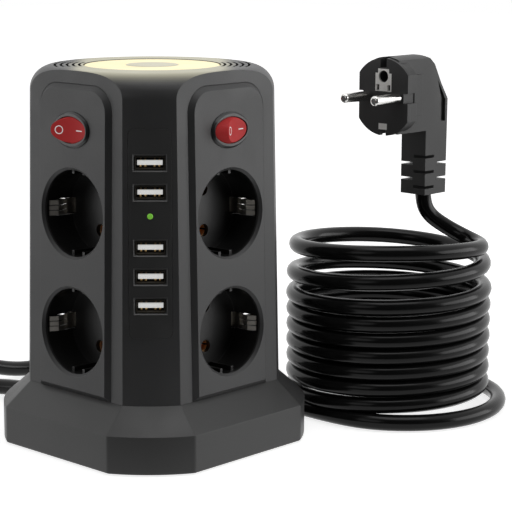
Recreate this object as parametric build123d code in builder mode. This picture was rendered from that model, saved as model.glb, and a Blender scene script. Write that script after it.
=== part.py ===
from build123d import *
import math
import os

# Tower power strip: a flared eight-sided base carries a square-faced column with a round top.
# Each of the four faces has two earthed sockets and a rocker switch, one corner column has
# five charging ports, and the top is a lamp with a touch button. A mains lead leaves the base,
# lies in a loop, is wound into a coil beside the tower and ends in an angled plug.
# Millimetres, +Z up. The origin is on the floor, on the tower's axis.

# ---------------------------------------------------------------- driving dimensions

# Base
base_face_distance = 62.9
base_corner_radius = 72.0
base_gap = 0.6
base_band_top = 18.1
base_top = 29.1
base_wall = 2.5
base_edge_radius = 2.6
base_top_edge_radius = 1.2
base_foot_edge_radius = 1.2
base_wire_opening = 38.0
bottom_plate_thickness = 2.5
bottom_plate_clearance = 0.3
foot_radius = 7.0
foot_recess = 1.2
foot_distance = 50.0
foot_clearance = 0.1
screw_radius = 1.5
screw_clearance = 0.05
screw_head_radius = 2.9
screw_head_height = 1.6
boss_radius = 4.0
boss_merge = 0.6
base_boss_distance = 63.2
base_boss_top = 21.5

# Column
column_radius = 60.2
column_draft = 0.0207
face_distance = 50.9
face_draft = 0.0199
tower_height = 177.0
top_edge_radius = 11.0
column_wall = 2.6
top_wall = 4.0
column_boss_height = 14.0
housing_screw_length = 12.0

# Face panels
panel_half_width = 24.3
panel_top = 171.1
panel_corner_radius = 12.0
panel_rise = 2.1
panel_gap = 0.15
panel_foot_gap = 0.15
panel_skin = 2.2
panel_wall = 2.2
panel_flange = 1.6
panel_flange_width = 1.4

# Sockets
socket_heights = {"upper": 112.6, "lower": 58.1}
socket_radius = 19.8
socket_mouth_chamfer = 1.2
socket_depth = 17.5
cup_wall = 1.6
cup_floor = 2.2
pin_spacing = 19.0
pin_hole_radius = 2.9
rib_gap = 5.5
rib_width = 1.6
rib_height = 2.2
rib_start = 4.0
rib_merge = 0.3
clip_width = 7.0
clip_thickness = 0.8
clip_reach = 2.0
clip_slot_clearance = 0.5
clip_start = 3.2
clip_front = 3.8
clip_bulge_top = 7.5
clip_bulge_bottom = 10.5
clip_root = 14.5
clip_bend_shift = 0.3
clip_slit_width = 0.4
clip_slit_end = 15.0
clip_strip_offset = 1.0
contact_outer_radius = 3.6
contact_inner_radius = 2.5
contact_length = 12.0
strip_thickness = 1.0
strip_width = 4.0
strip_offset = 4.2

# Rocker switches
switch_height = 150.6
bezel_half_length = 11.8
bezel_half_height = 8.25
bezel_end_radius = 6.4
bezel_rise = 1.3
bezel_slope = 0.9
case_inset = 0.6
case_depth = 13.0
case_floor = 1.5
case_cut_clearance = 0.1
rocker_radius = 10.15
rocker_half_height = 5.85
rocker_end_radius = 3.9
rocker_clearance = 0.25
rocker_pivot_depth = 1.0
rocker_end_height = 4.8
rocker_dish_radius = 26.0
rocker_bottom = 3.0
rocker_tilt = 17.5
pivot_pin_radius = 1.2
pivot_pin_reach = 7.1
pivot_end_clearance = 0.2
pivot_clearance = 0.05
terminal_length = 6.0
terminal_width = 4.8
terminal_thickness = 0.8

# Charging ports
usb_panel_half_width = 9.7
usb_panel_bottom = 59.8
usb_panel_top = 153.6
usb_panel_corner = 3.0
usb_panel_gap = 0.15
usb_flange = 1.4
usb_flange_width = 1.2
port_heights = [138.6, 125.5, 100.9, 87.8, 74.7]
port_width = 13.1
port_height = 5.7
port_corner = 0.7
port_bevel = 0.9
port_clearance = 0.1
port_depth = 14.0
port_setback = 0.3
port_wall = 0.45
tongue_width = 11.1
tongue_thickness = 1.9
tongue_length = 9.0
tongue_root = 3.0
tongue_clearance = 0.05
usb_board_width = 19.0
usb_board_thickness = 1.6
usb_board_margin = 6.0
light_height = 115.0
light_radius = 1.3
light_clearance = 0.05
light_rise = 0.3

# Lamp
lamp_opening_radius = 32.1
lamp_gap = 0.45
lamp_ledge_width = 2.2
lamp_recess = 2.6
lamp_thickness = 2.4
lamp_edge_chamfer = 0.5
lamp_skirt_clearance = 0.3
lamp_skirt_wall = 2.0
lamp_skirt_depth = 8.0
lamp_board_thickness = 1.6
lamp_chip_count = 12
lamp_chip_size = 3.0
lamp_chip_height = 0.8
lamp_chip_circle = 20.0
touch_radius = 12.5
touch_gap = 0.15
touch_recess = 1.3
touch_thickness = 1.45
vent_radii = [33.9 + 2.8 * ring for ring in range(5)]
vent_width = 1.2
vent_half_angle = 18.0
vent_directions = [45.0, 225.0]

# Mains lead
cord_diameter = 8.0
exit_offset = -8.0
exit_gap = 0.1
exit_height = base_gap + bottom_plate_thickness + exit_gap + cord_diameter / 2
gland_collar_radius = cord_diameter / 2 + 2.9
gland_collar_thickness = 2.0
gland_root_radius = cord_diameter / 2 + 2.4
gland_tip_radius = cord_diameter / 2 + 1.0
gland_length = 20.0
gland_waist_radius = cord_diameter / 2 + 1.4
gland_waist_clearance = 0.1
tail_length = 26.0
clamp_width = 24.0
clamp_depth = 9.0
clamp_thickness = 6.0
clamp_pad_height = 4.0
clamp_screw_spacing = 15.0
clamp_distance = 40.0
clamp_channel_clearance = 0.2
clamp_tunnel_clearance = 0.1
clamp_screw_end = 0.5

# Coil of the lead
coil_center = (47.5, 118.2)
coil_outer_radius = 52.0
coil_inner_radius = 41.5
coil_height = 89.5
coil_low_center = (51.0, 121.8)
coil_low_radius = 56.0
coil_low_height = cord_diameter + 0.6

# Angled plug
plug_face = (55.4, 101.8, 158.4)
plug_radius = 18.9
plug_flat = 15.2
plug_flange_depth = 2.4
plug_tier_radius = 18.3
plug_tier_flat = 14.4
plug_tier_back = 8.0
plug_pad_half_width = 13.0
plug_pad_top = 10.9
plug_pad_bottom = -9.0
plug_pad_back = 14.5
plug_crown_radius = 19.4
plug_block_half_width = 7.6
plug_block_back = [(25.0, 19.4), (30.8, 14.7), (36.3, 4.9), (41.7, -3.0)]
plug_block_bottom = -18.0
plug_back_edge_radius = 3.0
plug_neck_front = 24.5
plug_neck_rear = 41.3
plug_neck_bottom = 50.4
plug_grip_outline = [(33.4, 6.8), (39.8, -3.4), (39.8, -14.2), (36.3, -13.8), (36.3, -2.0)]
plug_grip_depth = 1.5
plug_side_groove_width = 4.8
plug_side_groove_depth = 2.6
plug_relief_pitch = 3.83
plug_relief_rows = 5
plug_relief_thickness = 1.4
plug_relief_start = 6.2
plug_relief_reach = 8.0
plug_lead_reach = 5.0
plug_pin_radius = 2.4
plug_pin_length = 19.0
plug_pin_root = 8.0
plug_pin_root_radius = 1.9
plug_pin_root_gap = 0.3
plug_pin_tip_radius = 1.4
plug_earth_plate_bottom = 2.8
plug_earth_plate_shoulder = 11.6
plug_earth_plate_top = 13.7
plug_earth_plate_width = 10.0
plug_earth_plate_neck = 6.8
plug_earth_thickness = 1.0
plug_earth_hole_center = 10.0
plug_earth_hole_radius = 2.9
plug_earth_hole_depth = 13.0
plug_earth_slit_center = (3.4, 4.6)
plug_earth_slit = (1.7, 2.8)
plug_earth_tab_center = -14.4
plug_earth_tab_width = 5.2
plug_earth_tab_height = 3.0
plug_edge_slot_width = 3.8
plug_edge_slot_depth = 6.0
plug_top_slot_bottom = 14.2
plug_low_slot_top = -16.4

# Angle about the axis of each face's outward direction.
sides = {"front": -90.0, "right": 0.0, "back": 90.0, "left": 180.0}
diagonals = [45.0, 135.0, 225.0, 315.0]
usb_direction = -45.0

# Points of the lead between the gland and the coil, then between the coil and the plug.
floor_line = cord_diameter / 2 + 0.05
gland_tip_x = -base_face_distance - gland_length
lead_points = [
    (gland_tip_x, exit_offset, exit_height),
    (-100.0, -10.5, 6.0),
    (-121.0, -19.0, floor_line),
    (-146.0, -23.6, floor_line),
    (-173.5, -23.0, floor_line),
    (-191.6, -33.4, floor_line),
    (-202.0, -51.5, floor_line),
    (-202.0, -72.5, floor_line),
    (-191.6, -90.6, floor_line),
    (-173.5, -101.0, floor_line),
    (-152.5, -101.0, floor_line),
    (-134.4, -90.6, floor_line),
    (-124.2, -72.5, floor_line),
    (-125.0, -35.5, 13.2),
    (-125.6, -9.0, 13.2),
    (-126.4, 20.0, floor_line),
    (-125.2, 43.5, floor_line),
    (-114.5, 63.0, floor_line),
    (-95.0, 74.4, floor_line),
    (-66.0, 76.0, floor_line),
    (-36.0, 75.2, floor_line),
    (-6.0, 73.0, floor_line),
    (22.0, 70.6, floor_line),
    (47.5, 70.5, floor_line),
]
plug_cord_y = plug_face[1] + (plug_neck_front + plug_neck_rear) / 2
plug_cord_z = plug_face[2] - plug_neck_bottom
riser_points = [
    (68.4, 78.9, 85.3),
    (83.8, 90.8, 85.3),
    (92.0, 108.7, 84.6),
    (92.0, 134.5, 83.8),
    (84.5, 145.5, 83.4),
    (73.0, 148.6, 85.2),
    (63.0, 144.6, 90.0),
    (57.0, 137.6, 96.5),
    (plug_face[0], plug_cord_y, 104.0),
    (plug_face[0], plug_cord_y, plug_cord_z + plug_lead_reach),
]


# ---------------------------------------------------------------- shared geometry


def leaning_plane(angle, distance, draft, outward):
    """Plane whose normal points away from the axis and leans up by the draft."""
    turn = math.radians(angle)
    normal = Vector(math.cos(turn), math.sin(turn), draft).normalized()
    foot = Vector(math.cos(turn) * distance, math.sin(turn) * distance, 0)
    across = Vector(-math.sin(turn), math.cos(turn), 0)
    return Plane(origin=foot + normal * outward, x_dir=across, z_dir=normal)


def face_plane(side, outward=0.0):
    """Plane of one flat face, x to the right and y up, moved outwards."""
    return leaning_plane(sides[side], face_distance, face_draft, outward)


def usb_plane(outward=0.0):
    """Plane that touches the corner column with the charging ports."""
    return leaning_plane(usb_direction, column_radius, column_draft, outward)


def profile_plane(side, height):
    """Level plane of a face's own section, x to the right and y outwards."""
    face = face_plane(side)
    origin = face.origin + face.y_dir * height
    return Plane(origin=origin, x_dir=face.x_dir, z_dir=face.x_dir.cross(face.z_dir))


def radius_at(height):
    """Radius of the column at a height."""
    return column_radius - column_draft * height


base_top_face = face_distance - face_draft * base_top
base_top_radius = radius_at(base_top)
column_boss_distance = base_top_radius - column_wall - boss_radius + boss_merge
open_foot = base_top - 3 * panel_rise
clamp_floor = base_gap + bottom_plate_thickness
diagonal_screws = [
    (math.cos(math.radians(angle)), math.sin(math.radians(angle))) for angle in diagonals
]


def base_section(face, corner_radius, edge_radius, height):
    """Level section of the base: a square whose corners follow a circle about the axis."""
    with BuildSketch(Plane.XY.offset(height)) as section:
        Rectangle(2 * face, 2 * face)
        Circle(corner_radius, mode=Mode.INTERSECT)
        fillet(section.vertices(), edge_radius)
    return section.sketch


def column_form(inset, bottom, top, edge_radius):
    """Cone-shaped column with a rounded top, cut flat on four sides."""
    with BuildPart() as form:
        with BuildSketch(Plane.XZ):
            with BuildLine():
                Polyline(
                    (0, bottom),
                    (radius_at(bottom) - inset, bottom),
                    (radius_at(top) - inset, top),
                    (0, top),
                    close=True,
                )
            make_face()
        revolve(axis=Axis.Z)
        fillet(form.edges().group_by(Axis.Z)[-1], edge_radius)
        for side in sides:
            split(bisect_by=face_plane(side, -inset), keep=Keep.BOTTOM)
    return form.part


def panel_outline(side, outward, grow, foot):
    """Outline of a face panel above its foot, square there and rounded at its top."""
    width = 2 * (panel_half_width + grow)
    top = panel_top + grow
    with BuildSketch(face_plane(side, outward)) as outline:
        with Locations((0, (top + foot) / 2)):
            Rectangle(width, top - foot)
        fillet(outline.vertices().group_by(Axis.Y)[-1], panel_corner_radius + grow)
    return outline.sketch


def oval(plane, center, half_length, half_height, end_radius):
    """Oval of four arcs that meet smoothly, longer along the plane's x."""
    run = half_length - end_radius
    side_radius = (run**2 + half_height**2 - end_radius**2) / (2 * (half_height - end_radius))
    share = end_radius / (side_radius - end_radius)
    x = run * (1 + share)
    y = (side_radius - half_height) * share
    with BuildSketch(plane) as outline:
        with BuildLine(mode=Mode.PRIVATE) as rim:
            ThreePointArc((x, y), (0, half_height), (-x, y))
            ThreePointArc((-x, y), (-half_length, 0), (-x, -y))
            ThreePointArc((-x, -y), (0, -half_height), (x, -y))
            ThreePointArc((x, -y), (half_length, 0), (x, y))
        with Locations(center):
            add(make_face(rim.edges(), mode=Mode.PRIVATE))
    return outline.sketch


def switch_oval(side, outward, inset):
    """Oval of the switch's bezel on a face, drawn in from its rim."""
    return oval(
        face_plane(side, outward),
        (0, switch_height),
        bezel_half_length - inset,
        bezel_half_height - inset,
        bezel_end_radius - inset,
    )


def disc(plane, center, radius):
    """Round section on a plane."""
    with BuildSketch(plane) as outline:
        with Locations(center):
            Circle(radius)
    return outline.sketch


def bar(plane, center, width, height):
    """Rectangular section on a plane."""
    with BuildSketch(plane) as outline:
        with Locations(center):
            Rectangle(width, height)
    return outline.sketch


def usb_outline(outward, grow):
    """Outline of the charging port panel."""
    with BuildSketch(usb_plane(outward)) as outline:
        with Locations((0, (usb_panel_top + usb_panel_bottom) / 2)):
            RectangleRounded(
                2 * (usb_panel_half_width + grow),
                usb_panel_top - usb_panel_bottom + 2 * grow,
                usb_panel_corner + grow,
            )
    return outline.sketch


def port_outline(outward, height, grow):
    """Outline of one charging port."""
    with BuildSketch(usb_plane(outward)) as outline:
        with Locations((0, height)):
            RectangleRounded(port_width + 2 * grow, port_height + 2 * grow, port_corner + grow)
    return outline.sketch


# ---------------------------------------------------------------- base


def make_base_shell():
    """Flared base moulding, open below, with screw bosses and the lead's notch."""
    face = base_face_distance
    radius = base_corner_radius
    with BuildPart() as shell:
        extrude(
            base_section(face, radius, base_edge_radius, base_gap), amount=base_band_top - base_gap
        )
        fillet(shell.edges().group_by(Axis.Z)[0], base_foot_edge_radius)
        loft(
            sections=[
                base_section(face, radius, base_edge_radius, base_band_top),
                base_section(base_top_face, base_top_radius, base_top_edge_radius, base_top),
            ],
            ruled=True,
        )
        inner = base_section(face - base_wall, radius - base_wall, base_top_edge_radius, base_gap)
        extrude(inner, amount=base_band_top - base_gap, mode=Mode.SUBTRACT)
        loft(
            sections=[
                base_section(face - base_wall, radius - base_wall, base_top_edge_radius, base_band_top),
                base_section(
                    base_top_face - base_wall,
                    base_top_radius - base_wall,
                    base_top_edge_radius,
                    base_top - base_wall,
                ),
            ],
            ruled=True,
            mode=Mode.SUBTRACT,
        )
        opening = disc(Plane.XY.offset(base_top), (0, 0), base_wire_opening)
        extrude(opening, amount=-2 * base_wall, mode=Mode.SUBTRACT)
        for east, north in diagonal_screws:
            place = (east * base_boss_distance, north * base_boss_distance)
            boss = disc(Plane.XY.offset(clamp_floor), place, boss_radius)
            extrude(boss, amount=base_boss_top - clamp_floor)
            pilot = disc(Plane.XY.offset(clamp_floor), place, screw_radius + screw_clearance)
            extrude(pilot, amount=housing_screw_length, mode=Mode.SUBTRACT)
            passage = (east * column_boss_distance, north * column_boss_distance)
            screw_way = disc(Plane.XY.offset(base_top), passage, screw_radius + screw_clearance)
            extrude(screw_way, amount=-2 * base_wall, mode=Mode.SUBTRACT)
        wall_plane = Plane(origin=(-base_face_distance, 0, 0), x_dir=(0, -1, 0), z_dir=(-1, 0, 0))
        lead_way = disc(wall_plane, (-exit_offset, exit_height), gland_waist_radius + gland_waist_clearance)
        extrude(lead_way, amount=-2 * base_wall, mode=Mode.SUBTRACT)
    return shell.part


def make_bottom_plate():
    """Plate that closes the base, with foot recesses, screw holes and clamp pads."""
    inset = base_wall + bottom_plate_clearance
    with BuildPart() as plate:
        outline = base_section(
            base_face_distance - inset, base_corner_radius - inset, base_top_edge_radius, base_gap
        )
        extrude(outline, amount=bottom_plate_thickness)
        for east, north in diagonal_screws:
            foot = (east * foot_distance, north * foot_distance)
            recess = disc(Plane.XY.offset(base_gap), foot, foot_radius)
            extrude(recess, amount=foot_recess, mode=Mode.SUBTRACT)
            place = (east * base_boss_distance, north * base_boss_distance)
            way = disc(Plane.XY.offset(base_gap), place, screw_radius + screw_clearance)
            extrude(way, amount=bottom_plate_thickness, mode=Mode.SUBTRACT)
            sink = disc(Plane.XY.offset(base_gap), place, screw_head_radius + screw_clearance)
            extrude(sink, amount=screw_head_height, mode=Mode.SUBTRACT)
        pad_center = (-clamp_distance, exit_offset)
        pads = bar(Plane.XY.offset(clamp_floor), pad_center, clamp_depth, clamp_width)
        extrude(pads, amount=clamp_pad_height)
        channel_width = cord_diameter + 2 * clamp_channel_clearance
        channel = bar(Plane.XY.offset(clamp_floor), pad_center, clamp_depth, channel_width)
        extrude(channel, amount=clamp_pad_height, mode=Mode.SUBTRACT)
        for across in (-1, 1):
            place = (-clamp_distance, exit_offset + across * clamp_screw_spacing / 2)
            pilot = disc(Plane.XY.offset(clamp_floor), place, screw_radius + screw_clearance)
            extrude(pilot, amount=clamp_pad_height, mode=Mode.SUBTRACT)
        gland_edge = bar(
            Plane.XY.offset(base_gap),
            (-base_face_distance + base_wall, exit_offset),
            4 * gland_collar_thickness,
            2 * gland_collar_radius + 2 * bottom_plate_clearance,
        )
        extrude(gland_edge, amount=bottom_plate_thickness, mode=Mode.SUBTRACT)
    return plate.part


def make_rubber_feet():
    """Four soft feet in the recesses of the bottom plate."""
    with BuildPart() as feet:
        for east, north in diagonal_screws:
            place = (east * foot_distance, north * foot_distance)
            foot = disc(Plane.XY, place, foot_radius - foot_clearance)
            extrude(foot, amount=base_gap + foot_recess)
    return feet.part


def screw(place, head_plane, length):
    """One screw with a cylindrical head, its shank running along the plane's normal."""
    with BuildPart() as fastener:
        extrude(disc(head_plane, place, screw_head_radius), amount=screw_head_height)
        extrude(disc(head_plane, place, screw_radius), amount=length)
    return fastener.part


def make_base_screws():
    """Screws that hold the bottom plate to the base."""
    with BuildPart() as screws:
        for east, north in diagonal_screws:
            place = (east * base_boss_distance, north * base_boss_distance)
            add(screw(place, Plane.XY.offset(base_gap), housing_screw_length))
    return screws.part


def make_housing_screws():
    """Screws that hold the column to the base, their heads under the base's top."""
    with BuildPart() as screws:
        seat = base_top - base_wall - screw_head_height
        length = screw_head_height + base_wall + housing_screw_length
        for east, north in diagonal_screws:
            place = (east * column_boss_distance, north * column_boss_distance)
            add(screw(place, Plane.XY.offset(seat), length))
    return screws.part


# ---------------------------------------------------------------- column


def make_tower_housing(outer):
    """Hollow column with windows for the panels, the lamp's ledge and the vents."""
    hollow = column_form(
        column_wall, base_top - column_wall, tower_height - top_wall, top_edge_radius - column_wall
    )
    with BuildPart() as housing:
        add(outer)
        add(hollow, mode=Mode.SUBTRACT)
        for east, north in diagonal_screws:
            place = (east * column_boss_distance, north * column_boss_distance)
            extrude(disc(Plane.XY.offset(base_top), place, boss_radius), amount=column_boss_height)
            pilot = disc(Plane.XY.offset(base_top), place, screw_radius + screw_clearance)
            extrude(pilot, amount=housing_screw_length, mode=Mode.SUBTRACT)
        for side in sides:
            window = panel_outline(side, panel_rise, 0, open_foot)
            extrude(window, amount=-(panel_rise + 2 * column_wall), mode=Mode.SUBTRACT)
        usb_window = usb_outline(panel_rise, 0)
        extrude(usb_window, amount=-(panel_rise + 2 * column_wall), mode=Mode.SUBTRACT)
        top = Plane.XY.offset(tower_height)
        extrude(disc(top, (0, 0), lamp_opening_radius), amount=-lamp_recess, mode=Mode.SUBTRACT)
        ledge = disc(top, (0, 0), lamp_opening_radius - lamp_ledge_width)
        extrude(ledge, amount=-2 * top_wall, mode=Mode.SUBTRACT)
        with BuildSketch(top):
            for direction in vent_directions:
                for radius in vent_radii:
                    with BuildLine(mode=Mode.PRIVATE) as middle:
                        CenterArc((0, 0), radius, direction - vent_half_angle, 2 * vent_half_angle)
                    SlotArc(middle.edge(), vent_width)
        extrude(amount=-2 * top_wall, mode=Mode.SUBTRACT)
    return housing.part


def make_socket_panel(side):
    """Raised panel of one face with a bevelled edge, two round mouths and the switch's hole."""
    flange_back = -column_wall - panel_flange
    foot = base_top + panel_foot_gap
    with BuildPart() as panel:
        extrude(panel_outline(side, -column_wall, -panel_gap, foot), amount=column_wall)
        extrude(panel_outline(side, 0, -panel_gap, foot), amount=panel_rise, taper=45)
        flange = panel_outline(side, flange_back, panel_flange_width, open_foot)
        extrude(flange, amount=panel_flange)
        pocket = panel_outline(side, flange_back, -panel_wall, foot + panel_wall)
        extrude(pocket, amount=panel_rise - flange_back - panel_skin, mode=Mode.SUBTRACT)
        for height in socket_heights.values():
            mouth = disc(face_plane(side, panel_rise), (0, height), socket_radius)
            extrude(mouth, amount=-2 * panel_skin, mode=Mode.SUBTRACT)
            flare = disc(face_plane(side, panel_rise), (0, height), socket_radius + socket_mouth_chamfer)
            extrude(flare, amount=-socket_mouth_chamfer, taper=45, mode=Mode.SUBTRACT)
        cut = switch_oval(side, panel_rise, case_inset - case_cut_clearance)
        extrude(cut, amount=-2 * panel_skin, mode=Mode.SUBTRACT)
        split(bisect_by=Plane.XY.offset(base_top), keep=Keep.TOP)
    return panel.part


def make_socket_cup(side, height):
    """Round well behind a mouth, with pin holes, guide ribs and slots for the earth clips."""
    front = panel_rise - panel_skin
    floor = panel_rise - socket_depth
    with BuildPart() as cup:
        barrel = disc(face_plane(side, front), (0, height), socket_radius + cup_wall)
        extrude(barrel, amount=floor - cup_floor - front)
        well = disc(face_plane(side, front), (0, height), socket_radius)
        extrude(well, amount=floor - front, mode=Mode.SUBTRACT)
        for up in (-1, 1):
            hole = disc(face_plane(side, floor), (0, height + up * pin_spacing / 2), pin_hole_radius)
            extrude(hole, amount=-cup_floor, mode=Mode.SUBTRACT)
            for across in (-1, 1):
                center = (
                    across * (rib_gap + rib_width) / 2,
                    height + up * (socket_radius - rib_height / 2 + rib_merge),
                )
                rib = bar(face_plane(side, floor), center, rib_width, rib_height + 2 * rib_merge)
                extrude(rib, amount=socket_depth - rib_start)
        for across in (-1, 1):
            center = (across * socket_radius, height)
            slot = bar(
                face_plane(side, panel_rise - clip_start),
                center,
                3 * cup_wall,
                clip_width + 2 * clip_slot_clearance,
            )
            extrude(slot, amount=clip_start - socket_depth - cup_floor, mode=Mode.SUBTRACT)
    return cup.part


def make_earth_clips(side):
    """Sprung earth clips of both sockets of a face, joined by a strip on each hand."""
    floor_back = panel_rise - socket_depth - cup_floor
    inner = socket_radius
    outer = socket_radius + clip_thickness
    profile = [
        (inner, socket_depth + cup_floor),
        (inner, clip_root),
        (inner - clip_reach, clip_bulge_bottom),
        (inner - clip_reach, clip_bulge_top),
        (inner, clip_front),
        (outer, clip_front),
        (outer - clip_reach, clip_bulge_top + clip_bend_shift),
        (outer - clip_reach, clip_bulge_bottom - clip_bend_shift),
        (outer, clip_root - clip_bend_shift),
        (outer, socket_depth + cup_floor),
    ]
    with BuildPart() as clips:
        for across in (-1, 1):
            points = [(across * x, panel_rise - depth) for x, depth in profile]
            for height in socket_heights.values():
                with BuildSketch(profile_plane(side, height)):
                    with BuildLine():
                        Polyline(*points, close=True)
                    make_face()
                extrude(amount=clip_width / 2, both=True)
                for gap in (-1, 1):
                    center = (across * inner, height + gap * clip_width / 6)
                    slit = bar(face_plane(side, panel_rise), center, 4 * clip_reach, clip_slit_width)
                    extrude(slit, amount=-clip_slit_end, mode=Mode.SUBTRACT)
            middle = sum(socket_heights.values()) / 2
            reach = max(socket_heights.values()) - min(socket_heights.values()) + clip_width
            center = (across * (inner - clip_strip_offset), middle)
            extrude(bar(face_plane(side, floor_back), center, strip_width, reach), amount=-strip_thickness)
    return clips.part


def make_contacts(side):
    """Live and neutral strips of a face, each with a sprung sleeve behind every pin hole."""
    front = panel_rise - socket_depth - cup_floor
    with BuildPart() as contacts:
        for up in (-1, 1):
            ends = [height + up * pin_spacing / 2 for height in socket_heights.values()]
            for end in ends:
                sleeve = disc(face_plane(side, front), (0, end), contact_outer_radius)
                extrude(sleeve, amount=-contact_length)
                bore = disc(face_plane(side, front), (0, end), contact_inner_radius)
                extrude(bore, amount=-contact_length, mode=Mode.SUBTRACT)
                slit = bar(
                    face_plane(side, front),
                    (-up * contact_outer_radius, end),
                    2 * contact_outer_radius,
                    strip_thickness,
                )
                extrude(slit, amount=-contact_length, mode=Mode.SUBTRACT)
                tab = bar(
                    face_plane(side, front - contact_length),
                    (up * (strip_offset + strip_width) / 2, end),
                    strip_offset + strip_width,
                    strip_width,
                )
                extrude(tab, amount=-strip_thickness)
            strip = bar(
                face_plane(side, front - contact_length),
                (up * (strip_offset + strip_width / 2), sum(ends) / 2),
                strip_width,
                max(ends) - min(ends) + strip_width,
            )
            extrude(strip, amount=-strip_thickness)
    return contacts.part


# ---------------------------------------------------------------- rocker switches


def pivot_plane(side):
    """Plane through a rocker's pivot, x along the pivot axis and y outwards."""
    face = face_plane(side)
    origin = face.origin + face.y_dir * switch_height + face.z_dir * (panel_rise - rocker_pivot_depth)
    return Plane(origin=origin, x_dir=face.y_dir, z_dir=face.y_dir.cross(face.z_dir))


def rocker_round(side):
    """Round body about the pivot that the rocker is cut from."""
    plane = pivot_plane(side)
    across = Plane(origin=plane.origin, x_dir=plane.y_dir, z_dir=plane.z_dir)
    with BuildPart() as body:
        with BuildSketch(across):
            add(oval(Plane.XY, (0, 0), rocker_radius, rocker_half_height, rocker_end_radius))
            with Locations((-rocker_radius, 0)):
                Rectangle(2 * rocker_radius, 2 * rocker_radius, mode=Mode.SUBTRACT)
        revolve(axis=Axis(plane.origin, plane.x_dir))
    return body.part


def make_switch_case(side):
    """Oval bezel with the switch's body behind the panel and two blade terminals."""
    with BuildPart() as case:
        extrude(switch_oval(side, panel_rise, 0), amount=bezel_rise - bezel_slope)
        slope = switch_oval(side, panel_rise + bezel_rise - bezel_slope, 0)
        extrude(slope, amount=bezel_slope, taper=45)
        extrude(switch_oval(side, panel_rise, case_inset), amount=-case_depth)
        room = oval(
            face_plane(side, panel_rise + bezel_rise),
            (0, switch_height),
            rocker_radius + rocker_clearance,
            rocker_half_height + rocker_clearance,
            rocker_end_radius + rocker_clearance,
        )
        extrude(room, amount=-(bezel_rise + case_depth - case_floor), mode=Mode.SUBTRACT)
        face = face_plane(side)
        for up in (-1, 1):
            start = Plane(origin=pivot_plane(side).origin, x_dir=face.x_dir, z_dir=face.y_dir * up)
            hole = disc(start, (0, 0), pivot_pin_radius + pivot_clearance)
            extrude(hole, amount=pivot_pin_reach + pivot_end_clearance, mode=Mode.SUBTRACT)
        for across in (-1, 1):
            blade = bar(
                face_plane(side, panel_rise - case_depth),
                (across * bezel_half_length / 2, switch_height),
                terminal_thickness,
                terminal_width,
            )
            extrude(blade, amount=-terminal_length)
    return case.part


def make_rocker(side):
    """Rocker with a dished top and pivot pins, one end pressed in."""
    plane = pivot_plane(side)
    face = face_plane(side)
    body = rocker_round(side)
    cross = Plane(origin=plane.origin, x_dir=face.x_dir, z_dir=face.x_dir.cross(face.z_dir))
    with BuildPart() as rocker:
        add(body)
        for up in (-1, 1):
            start = Plane(origin=plane.origin, x_dir=face.x_dir, z_dir=face.y_dir * up)
            extrude(disc(start, (0, 0), pivot_pin_radius), amount=pivot_pin_reach)
        half = math.sqrt(rocker_radius**2 - rocker_end_height**2)
        sagitta = rocker_dish_radius - math.sqrt(rocker_dish_radius**2 - half**2)
        dish = rocker_end_height - sagitta + rocker_dish_radius
        with BuildSketch(cross):
            with Locations((0, dish)):
                Circle(rocker_dish_radius)
            with Locations((0, -rocker_bottom - rocker_radius)):
                Rectangle(4 * rocker_radius, 2 * rocker_radius)
        extrude(amount=2 * rocker_radius, both=True, mode=Mode.SUBTRACT)
    turned = rocker.part.rotate(Axis(plane.origin, plane.x_dir), rocker_tilt)
    return turned


# ---------------------------------------------------------------- charging ports


def make_usb_panel(outer):
    """Curved insert of the corner column, with five bevelled port holes and a light hole."""
    wall_form = column_form(
        column_wall, base_top - column_wall, tower_height - top_wall, top_edge_radius - column_wall
    )
    inset = column_wall + usb_flange
    flange_form = column_form(
        inset, base_top - inset, tower_height - top_wall - inset, top_edge_radius - inset
    )
    with BuildPart() as plate:
        extrude(usb_outline(panel_rise, -usb_panel_gap), amount=-(panel_rise + 3 * column_wall))
        add(outer, mode=Mode.INTERSECT)
        add(wall_form, mode=Mode.SUBTRACT)
    with BuildPart() as flange:
        extrude(usb_outline(0, usb_flange_width), amount=-3 * column_wall - usb_flange)
        add(wall_form, mode=Mode.INTERSECT)
        add(flange_form, mode=Mode.SUBTRACT)
    with BuildPart() as panel:
        add(plate.part)
        add(flange.part)
        for height in port_heights:
            way = port_outline(panel_rise, height, port_clearance)
            extrude(way, amount=-(panel_rise + 4 * column_wall), mode=Mode.SUBTRACT)
            flare = port_outline(0, height, port_clearance + port_bevel)
            extrude(flare, amount=-port_bevel, taper=45, mode=Mode.SUBTRACT)
        light_way = disc(usb_plane(panel_rise), (0, light_height), light_radius + light_clearance)
        extrude(light_way, amount=-(panel_rise + 4 * column_wall), mode=Mode.SUBTRACT)
    return panel.part


def make_port_shells():
    """Thin metal shell of each charging port, closed at its back."""
    with BuildPart() as shells:
        for height in port_heights:
            extrude(port_outline(-port_setback, height, 0), amount=-port_depth)
            hollow = port_outline(-port_setback, height, -port_wall)
            extrude(hollow, amount=-(port_depth - port_wall), mode=Mode.SUBTRACT)
    return shells.part


def make_port_tongues():
    """Insulating tongue of each port on its root block."""
    root_front = -port_setback - port_depth + port_wall + tongue_root
    with BuildPart() as tongues:
        for height in port_heights:
            root = port_outline(root_front, height, -port_wall - tongue_clearance)
            extrude(root, amount=-tongue_root)
            tongue = bar(usb_plane(root_front), (0, height), tongue_width, tongue_thickness)
            extrude(tongue, amount=tongue_length)
    return tongues.part


def make_usb_board():
    """Circuit board behind the ports."""
    top = max(port_heights) + usb_board_margin
    bottom = min(port_heights) - usb_board_margin
    with BuildPart() as board:
        outline = bar(
            usb_plane(-port_setback - port_depth), (0, (top + bottom) / 2), usb_board_width, top - bottom
        )
        extrude(outline, amount=-usb_board_thickness)
    return board.part


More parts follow.
